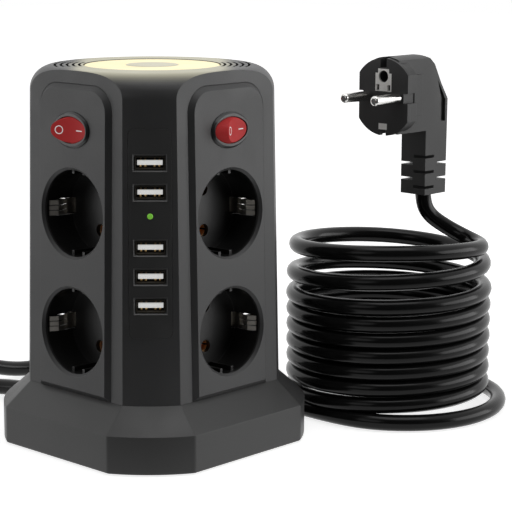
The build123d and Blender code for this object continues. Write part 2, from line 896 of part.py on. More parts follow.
def make_indicator_light():
    """Light pipe from the board to the panel, with a rounded end."""
    start = usb_plane(-port_setback - port_depth)
    with BuildPart() as light:
        extrude(disc(start, (0, light_height), light_radius), amount=port_setback + port_depth + light_rise)
        rims = light.edges().filter_by(GeomType.CIRCLE)
        fillet(rims.sort_by(Axis(start.origin, start.z_dir))[-1], light_radius / 2)
    return light.part


# ---------------------------------------------------------------- lamp


def make_lamp_diffuser():
    """Translucent disc on the column's ledge, with a skirt that carries the lamp board."""
    bottom = tower_height - lamp_recess
    skirt_radius = lamp_opening_radius - lamp_ledge_width - lamp_skirt_clearance
    with BuildPart() as diffuser:
        extrude(disc(Plane.XY.offset(bottom), (0, 0), lamp_opening_radius - lamp_gap), amount=lamp_thickness)
        chamfer(diffuser.edges().group_by(Axis.Z)[-1], lamp_edge_chamfer)
        extrude(disc(Plane.XY.offset(bottom), (0, 0), skirt_radius), amount=-lamp_skirt_depth)
        inside = disc(Plane.XY.offset(bottom - lamp_skirt_depth), (0, 0), skirt_radius - lamp_skirt_wall)
        extrude(inside, amount=lamp_skirt_depth, mode=Mode.SUBTRACT)
        seat = disc(Plane.XY.offset(bottom + lamp_thickness), (0, 0), touch_radius + touch_gap)
        extrude(seat, amount=-touch_recess, mode=Mode.SUBTRACT)
    return diffuser.part


def make_touch_button():
    """Touch disc in the middle of the lamp."""
    seat = tower_height - lamp_recess + lamp_thickness - touch_recess
    with BuildPart() as button:
        extrude(disc(Plane.XY.offset(seat), (0, 0), touch_radius), amount=touch_thickness)
        chamfer(button.edges().group_by(Axis.Z)[-1], lamp_edge_chamfer)
    return button.part


def make_lamp_board():
    """Round circuit board under the diffuser's skirt."""
    top = tower_height - lamp_recess - lamp_skirt_depth
    skirt_radius = lamp_opening_radius - lamp_ledge_width - lamp_skirt_clearance
    with BuildPart() as board:
        extrude(disc(Plane.XY.offset(top), (0, 0), skirt_radius), amount=-lamp_board_thickness)
    return board.part


def make_lamp_chips():
    """Ring of light-emitting chips on the lamp board."""
    top = tower_height - lamp_recess - lamp_skirt_depth
    with BuildPart() as chips:
        with BuildSketch(Plane.XY.offset(top)):
            with PolarLocations(lamp_chip_circle, lamp_chip_count):
                Rectangle(lamp_chip_size, lamp_chip_size)
        extrude(amount=lamp_chip_height)
    return chips.part


# ---------------------------------------------------------------- mains lead


def corner_radii(points):
    """Radius of each bend: 0.45 of the shorter run over the tangent of half the turn."""
    radii = []
    for before, corner, after in zip(points, points[1:], points[2:]):
        arriving = Vector(*corner) - Vector(*before)
        leaving = Vector(*after) - Vector(*corner)
        half_turn = math.radians(arriving.get_angle(leaving)) / 2
        radii.append(0.45 * min(arriving.length, leaving.length) / math.tan(half_turn))
    return radii


def make_lead(points, label):
    """Plain round tube along a stretch of the lead that isn't coiled."""
    radii = corner_radii(points)
    print(label, "bend radii", [round(radius) for radius in radii])
    with BuildPart() as lead:
        with BuildLine() as path:
            FilletPolyline(*points, radius=radii)
        with BuildSketch(Plane(origin=path.line @ 0, z_dir=path.line % 0)):
            Circle(cord_diameter / 2)
        sweep()
    section = math.pi * cord_diameter**2 / 4
    length = sum(edge.length for edge in path.edges())
    print(label, "length", round(length, 1), "volume share", round(lead.part.volume / (section * length), 4))
    return lead.part


def make_cord_gland():
    """Tapered strain relief, held by a waist in the base's wall."""
    outside = -base_face_distance
    inside = -base_face_distance + base_wall
    with BuildPart() as gland:
        with BuildSketch(Plane(origin=(0, exit_offset, exit_height), x_dir=(1, 0, 0), z_dir=(0, -1, 0))):
            with BuildLine():
                Polyline(
                    (gland_tip_x, 0),
                    (gland_tip_x, gland_tip_radius),
                    (outside - gland_collar_thickness, gland_root_radius),
                    (outside - gland_collar_thickness, gland_collar_radius),
                    (outside, gland_collar_radius),
                    (outside, gland_waist_radius),
                    (inside, gland_waist_radius),
                    (inside, gland_collar_radius),
                    (inside + gland_collar_thickness, gland_collar_radius),
                    (inside + gland_collar_thickness, 0),
                    close=True,
                )
            make_face()
        revolve(axis=Axis((0, exit_offset, exit_height), (1, 0, 0)))
    return gland.part


def make_cord_tail():
    """Sheathed end of the lead inside the base, from the gland through the clamp."""
    start = -base_face_distance + base_wall + gland_collar_thickness
    plane = Plane(origin=(start, exit_offset, exit_height), x_dir=(0, 1, 0), z_dir=(1, 0, 0))
    with BuildPart() as tail:
        extrude(disc(plane, (0, 0), cord_diameter / 2), amount=tail_length)
    return tail.part


def make_cord_clamp():
    """Bridge that presses the lead's sheath onto the bottom plate."""
    center = (-clamp_distance, exit_offset)
    bottom = clamp_floor + clamp_pad_height
    with BuildPart() as clamp:
        extrude(bar(Plane.XY.offset(bottom), center, clamp_depth, clamp_width), amount=clamp_thickness)
        tunnel = Plane(
            origin=(-clamp_distance - clamp_depth / 2, exit_offset, exit_height),
            x_dir=(0, 1, 0),
            z_dir=(1, 0, 0),
        )
        way = disc(tunnel, (0, 0), cord_diameter / 2 + clamp_tunnel_clearance)
        extrude(way, amount=clamp_depth, mode=Mode.SUBTRACT)
        for across in (-1, 1):
            place = (center[0], exit_offset + across * clamp_screw_spacing / 2)
            way = disc(Plane.XY.offset(bottom), place, screw_radius + screw_clearance)
            extrude(way, amount=clamp_thickness, mode=Mode.SUBTRACT)
    return clamp.part


def make_clamp_screws():
    """Two screws of the cord clamp."""
    head = Plane(
        origin=(0, 0, clamp_floor + clamp_pad_height + clamp_thickness + screw_head_height),
        x_dir=(1, 0, 0),
        z_dir=(0, 0, -1),
    )
    length = screw_head_height + clamp_thickness + clamp_pad_height - clamp_screw_end
    with BuildPart() as screws:
        for across in (-1, 1):
            place = (-clamp_distance, -(exit_offset + across * clamp_screw_spacing / 2))
            add(screw(place, head, length))
    return screws.part


def make_cord_coil():
    """Outer shape of the wound lead: a ring as tall as the stack, its lowest turn wider."""
    with BuildPart() as coil:
        with BuildSketch(Plane.XY):
            with Locations(coil_center):
                Circle(coil_outer_radius)
        extrude(amount=coil_height)
        with BuildSketch(Plane.XY):
            with Locations(coil_low_center):
                Circle(coil_low_radius)
        extrude(amount=coil_low_height)
        with BuildSketch(Plane.XY):
            with Locations(coil_center):
                Circle(coil_inner_radius)
        extrude(amount=coil_height, mode=Mode.SUBTRACT)
    return coil.part


# ---------------------------------------------------------------- plug


def plug_plane(back):
    """Upright plane across the plug, x to its left hand, y up, looking back from the face."""
    return Plane(
        origin=(plug_face[0], plug_face[1] + back, plug_face[2]), x_dir=(-1, 0, 0), z_dir=(0, 1, 0)
    )


def plug_side(outward):
    """Upright plane along the plug, x back from the face and y up."""
    return Plane(
        origin=(plug_face[0] + outward, plug_face[1], plug_face[2]), x_dir=(0, 1, 0), z_dir=(1, 0, 0)
    )


def flatted_disc(back, radius, flat):
    """Round section of the plug with its two hands cut flat."""
    with BuildSketch(plug_plane(back)) as outline:
        Circle(radius)
        Rectangle(2 * flat, 2 * radius, mode=Mode.INTERSECT)
    return outline.sketch


def upright_bar(back, width, bottom, top):
    """Rectangle across the plug between two heights."""
    return bar(plug_plane(back), (0, (bottom + top) / 2), width, top - bottom)


def earth_plate_outline():
    """Outline of the earth plate, narrower above its shoulders."""
    steps = (
        (plug_earth_plate_width, plug_earth_plate_shoulder),
        (plug_earth_plate_neck, plug_earth_plate_top),
    )
    with BuildSketch(plug_plane(0)) as outline:
        for width, top in steps:
            with Locations((0, (plug_earth_plate_bottom + top) / 2)):
                Rectangle(width, top - plug_earth_plate_bottom)
    return outline.sketch


def plug_block():
    """Wedge-shaped back of the plug with its neck, rounded over the top."""
    with BuildPart() as block:
        with BuildSketch(plug_side(0)) as profile:
            with BuildLine():
                Polyline(
                    (plug_flange_depth, plug_block_bottom),
                    (plug_flange_depth, plug_crown_radius),
                    *plug_block_back,
                    (plug_neck_rear, -plug_neck_bottom),
                    (plug_neck_front, -plug_neck_bottom),
                    (plug_neck_front, plug_block_bottom),
                    close=True,
                )
            make_face()
            highest = profile.vertices().group_by(Axis.Y)[-1]
            fillet(highest.sort_by(Axis.X)[-1], plug_back_edge_radius)
        extrude(amount=plug_block_half_width, both=True)
        with BuildSketch(plug_plane(0)):
            with Locations((0, plug_crown_radius)):
                Rectangle(4 * plug_block_half_width, 2 * plug_crown_radius)
            Circle(plug_crown_radius, mode=Mode.SUBTRACT)
        extrude(amount=plug_neck_rear, mode=Mode.SUBTRACT)
    return block.part


def relief_slots():
    """Rows of notches in opposite corners of the neck, turned from row to row."""
    center = (plug_face[0], plug_cord_y)
    distance = plug_relief_start + plug_relief_reach / 2
    with BuildPart() as slots:
        for row in range(plug_relief_rows):
            height = plug_cord_z + (row + 1) * plug_relief_pitch
            first = -45 if row % 2 == 0 else 45
            with BuildSketch(Plane.XY.offset(height - plug_relief_thickness / 2)):
                with Locations(center):
                    with PolarLocations(distance, 2, start_angle=first):
                        Rectangle(plug_relief_reach, 3 * plug_relief_reach)
            extrude(amount=plug_relief_thickness)
    return slots.part


def make_plug_body():
    """Angled plug moulding: round face, stepped sides, wedge-shaped back and slotted neck."""
    tier_depth = plug_tier_back - plug_flange_depth
    with BuildPart() as body:
        extrude(flatted_disc(0, plug_radius, plug_flat), amount=plug_flange_depth)
        extrude(flatted_disc(plug_flange_depth, plug_tier_radius, plug_tier_flat), amount=tier_depth)
        pad = upright_bar(plug_tier_back, 2 * plug_pad_half_width, plug_pad_bottom, plug_pad_top)
        extrude(pad, amount=plug_pad_back - plug_tier_back)
        add(plug_block())
        add(relief_slots(), mode=Mode.SUBTRACT)
        for hand in (-1, 1):
            groove_width = 2 * plug_side_groove_depth
            groove = bar(plug_plane(0), (hand * plug_flat, 0), groove_width, plug_side_groove_width)
            extrude(groove, amount=plug_tier_back, mode=Mode.SUBTRACT)
            with BuildSketch(plug_side(hand * plug_block_half_width)):
                with BuildLine():
                    Polyline(*plug_grip_outline, close=True)
                make_face()
            extrude(amount=-hand * plug_grip_depth, mode=Mode.SUBTRACT)
            pin_hole = disc(plug_plane(0), (hand * pin_spacing / 2, 0), plug_pin_root_radius)
            extrude(pin_hole, amount=plug_pin_root, mode=Mode.SUBTRACT)
        earth_hole = disc(plug_plane(0), (0, plug_earth_hole_center), plug_earth_hole_radius)
        extrude(earth_hole, amount=plug_earth_hole_depth, mode=Mode.SUBTRACT)
        extrude(earth_plate_outline(), amount=plug_earth_thickness, mode=Mode.SUBTRACT)
        tab_seat = bar(
            plug_plane(0), (0, plug_earth_tab_center), plug_earth_tab_width, plug_earth_tab_height
        )
        extrude(tab_seat, amount=plug_earth_thickness, mode=Mode.SUBTRACT)
        edge_slots = (
            (plug_top_slot_bottom, plug_crown_radius),
            (-plug_crown_radius, plug_low_slot_top),
        )
        for bottom, top in edge_slots:
            edge_slot = upright_bar(0, plug_edge_slot_width, bottom, top)
            extrude(edge_slot, amount=plug_edge_slot_depth, mode=Mode.SUBTRACT)
    return body.part


def make_plug_pins():
    """Two contact pins with rounded tips, standing on thinner roots inside the plug."""
    with BuildPart() as pins:
        for hand in (-1, 1):
            place = (hand * pin_spacing / 2, 0)
            free_length = plug_pin_length - plug_pin_root_gap
            extrude(disc(plug_plane(-plug_pin_root_gap), place, plug_pin_radius), amount=-free_length)
            root = disc(plug_plane(-plug_pin_root_gap), place, plug_pin_root_radius)
            extrude(root, amount=plug_pin_root_gap + plug_pin_root)
        tips = pins.edges().filter_by(GeomType.CIRCLE).group_by(Axis.Y)[0]
        fillet(tips, plug_pin_tip_radius)
    return pins.part


def make_plug_earth_contacts():
    """Earth plate with the hole for an earth pin, and the earth tab below the pins."""
    with BuildPart() as contacts:
        extrude(earth_plate_outline(), amount=plug_earth_thickness)
        hole = disc(plug_plane(0), (0, plug_earth_hole_center), plug_earth_hole_radius)
        extrude(hole, amount=plug_earth_thickness, mode=Mode.SUBTRACT)
        across, up = plug_earth_slit_center
        for hand in (-1, 1):
            slit = bar(plug_plane(0), (hand * across, up), *plug_earth_slit)
            extrude(slit, amount=plug_earth_thickness, mode=Mode.SUBTRACT)
        tab = bar(plug_plane(0), (0, plug_earth_tab_center), plug_earth_tab_width, plug_earth_tab_height)
        extrude(tab, amount=plug_earth_thickness)
    return contacts.part


# ---------------------------------------------------------------- build and write

os.makedirs("parts", exist_ok=True)


def write(part, label):
    """Label a finished piece and write it."""
    part.label = label
    export_step(part, f"parts/{label}.step")


outer_form = column_form(0, base_top, tower_height, top_edge_radius)

write(make_base_shell(), "base_shell")
write(make_bottom_plate(), "bottom_plate")
write(make_rubber_feet(), "rubber_feet")
write(make_base_screws(), "base_screws")
write(make_housing_screws(), "housing_screws")
write(make_tower_housing(outer_form), "tower_housing")
for side in sides:
    write(make_socket_panel(side), f"socket_panel_{side}")
    for level, height in socket_heights.items():
        write(make_socket_cup(side, height), f"socket_cup_{side}_{level}")
    write(make_earth_clips(side), f"earth_clips_{side}")
    write(make_contacts(side), f"contacts_{side}")
    write(make_switch_case(side), f"switch_case_{side}")
    write(make_rocker(side), f"rocker_{side}")
write(make_usb_panel(outer_form), "usb_panel")
write(make_port_shells(), "port_shells")
write(make_port_tongues(), "port_tongues")
write(make_usb_board(), "usb_board")
write(make_indicator_light(), "indicator_light")
write(make_lamp_diffuser(), "lamp_diffuser")
write(make_touch_button(), "touch_button")
write(make_lamp_board(), "lamp_board")
write(make_lamp_chips(), "lamp_chips")
write(make_cord_gland(), "cord_gland")
write(make_cord_tail(), "cord_tail")
write(make_cord_clamp(), "cord_clamp")
write(make_clamp_screws(), "clamp_screws")
write(make_lead(lead_points, "power_cord"), "power_cord")
write(make_cord_coil(), "cord_coil")
write(make_lead(riser_points, "plug_lead"), "plug_lead")
write(make_plug_body(), "plug_body")
write(make_plug_pins(), "plug_pins")
write(make_plug_earth_contacts(), "plug_earth_contacts")
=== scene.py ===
"""Visual model of a tower power strip: finishes, printed marks, port contacts, lead and studio."""

import logging
import math
from dataclasses import dataclass
from enum import Enum
from typing import Callable

import bmesh
import bpy
from mathutils import Matrix, Vector


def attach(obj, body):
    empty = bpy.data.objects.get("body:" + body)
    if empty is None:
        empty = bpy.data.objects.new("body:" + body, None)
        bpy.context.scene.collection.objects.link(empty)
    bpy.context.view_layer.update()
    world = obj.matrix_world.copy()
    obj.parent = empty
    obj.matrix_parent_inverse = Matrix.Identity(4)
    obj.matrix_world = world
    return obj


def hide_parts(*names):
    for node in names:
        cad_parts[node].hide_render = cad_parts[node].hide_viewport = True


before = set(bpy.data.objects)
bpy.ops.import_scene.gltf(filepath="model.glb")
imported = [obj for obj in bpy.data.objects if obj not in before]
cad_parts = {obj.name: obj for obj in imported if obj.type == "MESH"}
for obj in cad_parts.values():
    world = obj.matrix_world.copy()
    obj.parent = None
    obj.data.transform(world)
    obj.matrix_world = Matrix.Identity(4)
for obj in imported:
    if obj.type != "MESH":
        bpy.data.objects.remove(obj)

Colour = tuple[float, float, float]
Point = tuple[float, float, float]
Span = tuple[float, float]

LOG = logging.getLogger("tower")
MM = 0.001
BLACK: Colour = (0.0, 0.0, 0.0)
WHITE: Colour = (1.0, 1.0, 1.0)

# Where the lamp's light falls on its rim.
RIM_REACH: Span = (31.5 * MM, 42.5 * MM)
RIM_HEIGHT: Span = (165.0 * MM, 174.0 * MM)
RIM_LEVEL: Span = (0.5, 0.95)
CORNER_SKEW: Span = (0.4, 1.35)
CORNER_REACH = 15.0 * MM

# The shade inside a charging port.
PORT_OUTWARD: Point = (0.70711, -0.70711, 0.0207)
PORT_SHADE: Span = (2.2 * MM, 5.8 * MM)
PORT_DARK: Colour = (0.012, 0.011, 0.010)

# The outputs of the shader groups.
MASK_ONLY = {"Mask": "NodeSocketFloat"}
HEIGHT_AND_MASK = {"Height": "NodeSocketFloat", "Mask": "NodeSocketFloat"}

# What every moulded finish shares.
MARK_SCALE = 35.0
MARK_DIMMING = 0.97
GRAIN_STRENGTH = 0.35
COAT_ROUGHNESS = 0.08
EDGE_SAMPLES = 6
SCATTER_RADIUS: Colour = (1.0, 0.3, 0.2)
SCATTER_SCALE = 2.0 * MM

# What every metal finish shares.
LINE_STRENGTH = 0.3

# The leaning socket faces.
FACE_DISTANCE = 50.9 * MM
FACE_DRAFT = 0.0199


class Side(Enum):
    """The four socket faces, each with the angle of its outward direction in degrees."""

    FRONT = -90.0
    RIGHT = 0.0
    BACK = 90.0
    LEFT = 180.0

    @property
    def word(self) -> str:
        """The side's name as the nodes use it."""
        return self.name.lower()


# ---------------------------------------------------------------- node helpers


class Nodes:
    """A node tree with short calls that add and join nodes."""

    def __init__(self, tree: bpy.types.NodeTree) -> None:
        """Wraps a tree.

        Args:
            tree: The material's or group's node tree.
        """
        self.tree = tree
        self.column = 0

    def add(self, kind: str, **settings: object) -> bpy.types.Node:
        """Adds a node.

        Args:
            kind: Blender's type name of the node.
            **settings: Attributes to set on it.

        Returns:
            The new node.
        """
        node = self.tree.nodes.new(kind)
        node.location = (self.column * 190.0, -(self.column % 4) * 170.0)
        self.column += 1
        for key, value in settings.items():
            setattr(node, key, value)
        return node

    def join(self, source: bpy.types.NodeSocket, target: bpy.types.NodeSocket) -> None:
        """Joins an output to an input."""
        self.tree.links.new(source, target)

    def math(
        self, operation: str, first: object, second: object = 0.0, clamp: bool = False
    ) -> bpy.types.NodeSocket:
        """Adds a Math node.

        Args:
            operation: The node's operation.
            first: A socket or a number.
            second: A socket or a number.
            clamp: Whether the result stays within 0 and 1.

        Returns:
            The node's output.
        """
        node = self.add("ShaderNodeMath", operation=operation, use_clamp=clamp)
        for slot, value in zip(node.inputs, (first, second)):
            if isinstance(value, bpy.types.NodeSocket):
                self.join(value, slot)
            else:
                slot.default_value = float(value)
        return node.outputs[0]

    def remap(
        self, value: bpy.types.NodeSocket, low: float, high: float, to_low: float, to_high: float
    ) -> bpy.types.NodeSocket:
        """Maps a value from one range to another with a smooth step, clamped.

        Args:
            value: The socket to map.
            low: Start of the incoming range.
            high: End of the incoming range.
            to_low: Result at the start.
            to_high: Result at the end.

        Returns:
            The mapped value.
        """
        node = self.add("ShaderNodeMapRange", interpolation_type="SMOOTHSTEP")
        self.join(value, node.inputs["Value"])
        node.inputs["From Min"].default_value = low
        node.inputs["From Max"].default_value = high
        node.inputs["To Min"].default_value = to_low
        node.inputs["To Max"].default_value = to_high
        return node.outputs["Result"]

    def blend(self, factor: object, first: object, second: object) -> bpy.types.NodeSocket:
        """Mixes two colours.

        Args:
            factor: A socket or a number.
            first: A socket or a colour, at factor 0.
            second: A socket or a colour, at factor 1.

        Returns:
            The mixed colour.
        """
        node = self.add("ShaderNodeMix", data_type="RGBA")
        for slot, value in ((node.inputs[0], factor), (node.inputs[6], first), (node.inputs[7], second)):
            if isinstance(value, bpy.types.NodeSocket):
                self.join(value, slot)
            elif isinstance(value, (int, float)):
                slot.default_value = float(value)
            else:
                slot.default_value = (*value, 1.0)
        return node.outputs[2]


def group(
    name: str, inputs: dict[str, float], outputs: dict[str, str], build: Callable
) -> bpy.types.NodeTree:
    """Makes a shader node group once and returns it on later calls.

    Args:
        name: The group's name.
        inputs: Input names and their starting values.
        outputs: Output names and their socket types.
        build: Called with the Nodes, the group's input node and its output node.

    Returns:
        The group.
    """
    known = bpy.data.node_groups.get(name)
    if known:
        return known
    tree = bpy.data.node_groups.new(name, "ShaderNodeTree")
    for label, value in inputs.items():
        socket = tree.interface.new_socket(label, in_out="INPUT", socket_type="NodeSocketFloat")
        socket.default_value = value
    for label, kind in outputs.items():
        tree.interface.new_socket(label, in_out="OUTPUT", socket_type=kind)
    nodes = Nodes(tree)
    build(nodes, nodes.add("NodeGroupInput"), nodes.add("NodeGroupOutput"))
    return tree


def _grain(nodes: Nodes, given: bpy.types.Node, out: bpy.types.Node) -> None:
    """Fills the group of fine moulded grain."""
    place = nodes.add("ShaderNodeTexCoord")
    fine = nodes.add("ShaderNodeTexNoise")
    fine.inputs["Detail"].default_value = 3.0
    fine.inputs["Roughness"].default_value = 0.6
    nodes.join(place.outputs["Object"], fine.inputs["Vector"])
    nodes.join(given.outputs["Scale"], fine.inputs["Scale"])
    pits = nodes.add("ShaderNodeTexVoronoi", feature="SMOOTH_F1")
    nodes.join(place.outputs["Object"], pits.inputs["Vector"])
    nodes.join(nodes.math("MULTIPLY", given.outputs["Scale"], 0.8), pits.inputs["Scale"])
    pitting = nodes.math("MULTIPLY", pits.outputs["Distance"], 0.6)
    height = nodes.math("ADD", fine.outputs["Fac"], pitting)
    nodes.join(height, out.inputs["Height"])
    nodes.join(nodes.remap(fine.outputs["Fac"], 0.3, 0.7, 0.0, 1.0), out.inputs["Mask"])


def _cloud(nodes: Nodes, given: bpy.types.Node, out: bpy.types.Node) -> None:
    """Fills the group of broad, faint handling marks."""
    place = nodes.add("ShaderNodeTexCoord")
    broad = nodes.add("ShaderNodeTexNoise")
    broad.inputs["Detail"].default_value = 4.0
    broad.inputs["Distortion"].default_value = 0.6
    nodes.join(place.outputs["Object"], broad.inputs["Vector"])
    nodes.join(given.outputs["Scale"], broad.inputs["Scale"])
    nodes.join(nodes.remap(broad.outputs["Fac"], 0.35, 0.7, 0.0, 1.0), out.inputs["Mask"])


def _brushing(nodes: Nodes, given: bpy.types.Node, out: bpy.types.Node) -> None:
    """Fills the group of drawn lines along a metal part."""
    place = nodes.add("ShaderNodeTexCoord")
    stretch = nodes.add("ShaderNodeMapping")
    stretch.inputs["Scale"].default_value = (1.0, 0.06, 1.0)
    lines = nodes.add("ShaderNodeTexNoise")
    lines.inputs["Detail"].default_value = 3.0
    nodes.join(place.outputs["Object"], stretch.inputs["Vector"])
    nodes.join(stretch.outputs["Vector"], lines.inputs["Vector"])
    nodes.join(given.outputs["Scale"], lines.inputs["Scale"])
    nodes.join(lines.outputs["Fac"], out.inputs["Height"])
    nodes.join(nodes.remap(lines.outputs["Fac"], 0.3, 0.7, 0.0, 1.0), out.inputs["Mask"])


def grain_group() -> bpy.types.NodeTree:
    """The group of fine moulded grain."""
    return group("Moulded grain", {"Scale": 1400.0}, HEIGHT_AND_MASK, _grain)


def cloud_group() -> bpy.types.NodeTree:
    """The group of broad handling marks."""
    return group("Handling marks", {"Scale": 30.0}, MASK_ONLY, _cloud)


def brushing_group() -> bpy.types.NodeTree:
    """The group of drawn metal lines."""
    return group("Drawn lines", {"Scale": 2500.0}, HEIGHT_AND_MASK, _brushing)


def _spill(nodes: Nodes, given: bpy.types.Node, out: bpy.types.Node) -> None:
    """Fills the group of the lamp's light on its rim, which reaches further at the corners with no vents."""
    place = nodes.add("ShaderNodeTexCoord")
    split = nodes.add("ShaderNodeSeparateXYZ")
    nodes.join(place.outputs["Object"], split.inputs["Vector"])
    across = nodes.math("MULTIPLY", split.outputs["X"], split.outputs["X"])
    along = nodes.math("MULTIPLY", split.outputs["Y"], split.outputs["Y"])
    distance = nodes.math("SQRT", nodes.math("ADD", across, along))
    slant = nodes.math("SUBTRACT", split.outputs["X"], split.outputs["Y"])
    skew = nodes.math("ABSOLUTE", nodes.math("DIVIDE", slant, distance))
    corner = nodes.remap(skew, *CORNER_SKEW, 0.0, CORNER_REACH)
    near = nodes.remap(nodes.math("SUBTRACT", distance, corner), *RIM_REACH, 1.0, 0.0)
    high = nodes.remap(split.outputs["Z"], *RIM_HEIGHT, 0.0, 1.0)
    surface = nodes.add("ShaderNodeNewGeometry")
    level = nodes.add("ShaderNodeSeparateXYZ")
    nodes.join(surface.outputs["True Normal"], level.inputs["Vector"])
    faces_up = nodes.remap(level.outputs["Z"], *RIM_LEVEL, 0.0, 1.0)
    both = nodes.math("MULTIPLY", nodes.math("MULTIPLY", near, high), faces_up)
    nodes.join(nodes.math("POWER", both, given.outputs["Falloff"]), out.inputs["Mask"])


def spill_group() -> bpy.types.NodeTree:
    """The group of the lamp's light on its rim."""
    return group("Lamp light", {"Falloff": 1.3}, MASK_ONLY, _spill)


def _shade(nodes: Nodes, given: bpy.types.Node, out: bpy.types.Node) -> None:
    """Fills the group of the shade inside a charging port, by depth behind the column's surface."""
    place = nodes.add("ShaderNodeTexCoord")
    depth = nodes.add("ShaderNodeVectorMath", operation="DOT_PRODUCT")
    nodes.join(place.outputs["Object"], depth.inputs[0])
    depth.inputs[1].default_value = PORT_OUTWARD
    inward = nodes.math("SUBTRACT", given.outputs["Surface"], depth.outputs["Value"])
    nodes.join(nodes.remap(inward, *PORT_SHADE, 1.0, 0.0), out.inputs["Mask"])


def shade_group() -> bpy.types.NodeTree:
    """The group of the shade inside a charging port."""
    return group("Port shade", {"Surface": 60.2 * MM}, MASK_ONLY, _shade)


# ---------------------------------------------------------------- finishes


@dataclass(frozen=True)
class Plastic:
    """A moulded plastic, rubber or PVC finish.

    Attributes:
        name: The material's name.
        colour: Its colour.
        tint: The colour that the handling marks lean to.
        roughness: Roughness of the clean surface.
        spread: How much rougher the marks are.
        grain: Size of the grain, as a noise scale.
        depth: Depth of the grain in metres.
        specular: Level of its plain reflection.
        coat: Weight of a clear, polished skin.
        glow: Strength of light that it gives by itself; on the rocker, the print and the port tongue it is
            painted light.
        glow_colour: Colour of that light.
        translucency: Weight of the light that scatters inside it.
        edge: Radius that its sharp edges look rounded to, in metres.
        spill: Strength of the lamp's light that falls on it round the lamp.
        shaded: Whether it falls into shade behind the mouth of a charging port.
    """

    name: str
    colour: Colour
    tint: Colour
    roughness: float
    spread: float = 0.06
    grain: float = 1500.0
    depth: float = 0.00002
    specular: float = 0.5
    coat: float = 0.0
    glow: float = 0.0
    glow_colour: Colour = WHITE
    translucency: float = 0.0
    edge: float = 0.00025
    spill: float = 0.0
    shaded: bool = False

    def material(self) -> bpy.types.Material:
        """Makes the material, or returns it when it's already made."""
        known = bpy.data.materials.get(self.name)
        if known:
            return known
        made = bpy.data.materials.new(self.name)
        made.use_nodes = True
        nodes = Nodes(made.node_tree)
        shader = made.node_tree.nodes["Principled BSDF"]
        marks = nodes.add("ShaderNodeGroup", node_tree=cloud_group())
        marks.inputs["Scale"].default_value = MARK_SCALE
        grain = nodes.add("ShaderNodeGroup", node_tree=grain_group())
        grain.inputs["Scale"].default_value = self.grain
        skin = nodes.blend(marks.outputs["Mask"], self.colour, self.tint)
        if self.shaded:
            shade = nodes.add("ShaderNodeGroup", node_tree=shade_group()).outputs["Mask"]
            skin = nodes.blend(shade, PORT_DARK, skin)
        nodes.join(skin, shader.inputs["Base Color"])
        rough = nodes.remap(marks.outputs["Mask"], 0.0, 1.0, self.roughness, self.roughness + self.spread)
        half = 0.5 * self.spread
        fleck = nodes.remap(grain.outputs["Mask"], 0.0, 1.0, -half, half)
        nodes.join(nodes.math("ADD", rough, fleck, clamp=True), shader.inputs["Roughness"])
        bump = nodes.add("ShaderNodeBump")
        bump.inputs["Strength"].default_value = GRAIN_STRENGTH
        bump.inputs["Distance"].default_value = self.depth
        nodes.join(grain.outputs["Height"], bump.inputs["Height"])
        if self.edge:
            rounded = nodes.add("ShaderNodeBevel", samples=EDGE_SAMPLES)
            rounded.inputs["Radius"].default_value = self.edge
            nodes.join(rounded.outputs["Normal"], bump.inputs["Normal"])
        nodes.join(bump.outputs["Normal"], shader.inputs["Normal"])
        if self.spill:
            lamp = nodes.add("ShaderNodeGroup", node_tree=spill_group())
            lit = nodes.blend(lamp.outputs["Mask"], BLACK, self.glow_colour)
            nodes.join(lit, shader.inputs["Emission Color"])
            shader.inputs["Emission Strength"].default_value = self.spill
        shader.inputs["Specular IOR Level"].default_value = self.specular
        shader.inputs["Coat Weight"].default_value = self.coat
        shader.inputs["Coat Roughness"].default_value = COAT_ROUGHNESS
        if self.translucency:
            shader.inputs["Subsurface Weight"].default_value = self.translucency
            shader.inputs["Subsurface Radius"].default_value = SCATTER_RADIUS
            shader.inputs["Subsurface Scale"].default_value = SCATTER_SCALE
        # Emission: light of its own for the lamp parts, painted light for the rocker, the print and the port
        # tongue.
        if self.glow:
            shader.inputs["Emission Strength"].default_value = self.glow
            dimmer = tuple(MARK_DIMMING * part for part in self.glow_colour)
            lit = nodes.blend(marks.outputs["Mask"], self.glow_colour, dimmer)
            if self.shaded:
                lit = nodes.blend(shade, BLACK, lit)
            nodes.join(lit, shader.inputs["Emission Color"])
        return made


@dataclass(frozen=True)
class Metal:
    """A plated or plain metal finish.

    Attributes:
        name: The material's name.
        colour: Its colour.
        shade: Its darker colour in the drawn lines.
        roughness: Roughness of the bright parts.
        spread: How much rougher the drawn lines are.
        depth: Depth of the drawn lines in metres.
        metallic: How far it behaves as bare metal, under 1 for a dull plating.
    """

    name: str
    colour: Colour
    shade: Colour
    roughness: float
    spread: float = 0.12
    depth: float = 0.00001
    metallic: float = 1.0

    def material(self) -> bpy.types.Material:
        """Makes the material, or returns it when it's already made."""
        known = bpy.data.materials.get(self.name)
        if known:
            return known
        made = bpy.data.materials.new(self.name)
        made.use_nodes = True
        nodes = Nodes(made.node_tree)
        shader = made.node_tree.nodes["Principled BSDF"]
        shader.inputs["Metallic"].default_value = self.metallic
        lines = nodes.add("ShaderNodeGroup", node_tree=brushing_group())
        nodes.join(nodes.blend(lines.outputs["Mask"], self.colour, self.shade), shader.inputs["Base Color"])
        rough = nodes.remap(lines.outputs["Mask"], 0.0, 1.0, self.roughness, self.roughness + self.spread)
        nodes.join(rough, shader.inputs["Roughness"])
        bump = nodes.add("ShaderNodeBump")
        bump.inputs["Strength"].default_value = LINE_STRENGTH
        bump.inputs["Distance"].default_value = self.depth
        nodes.join(lines.outputs["Height"], bump.inputs["Height"])
        nodes.join(bump.outputs["Normal"], shader.inputs["Normal"])
        return made


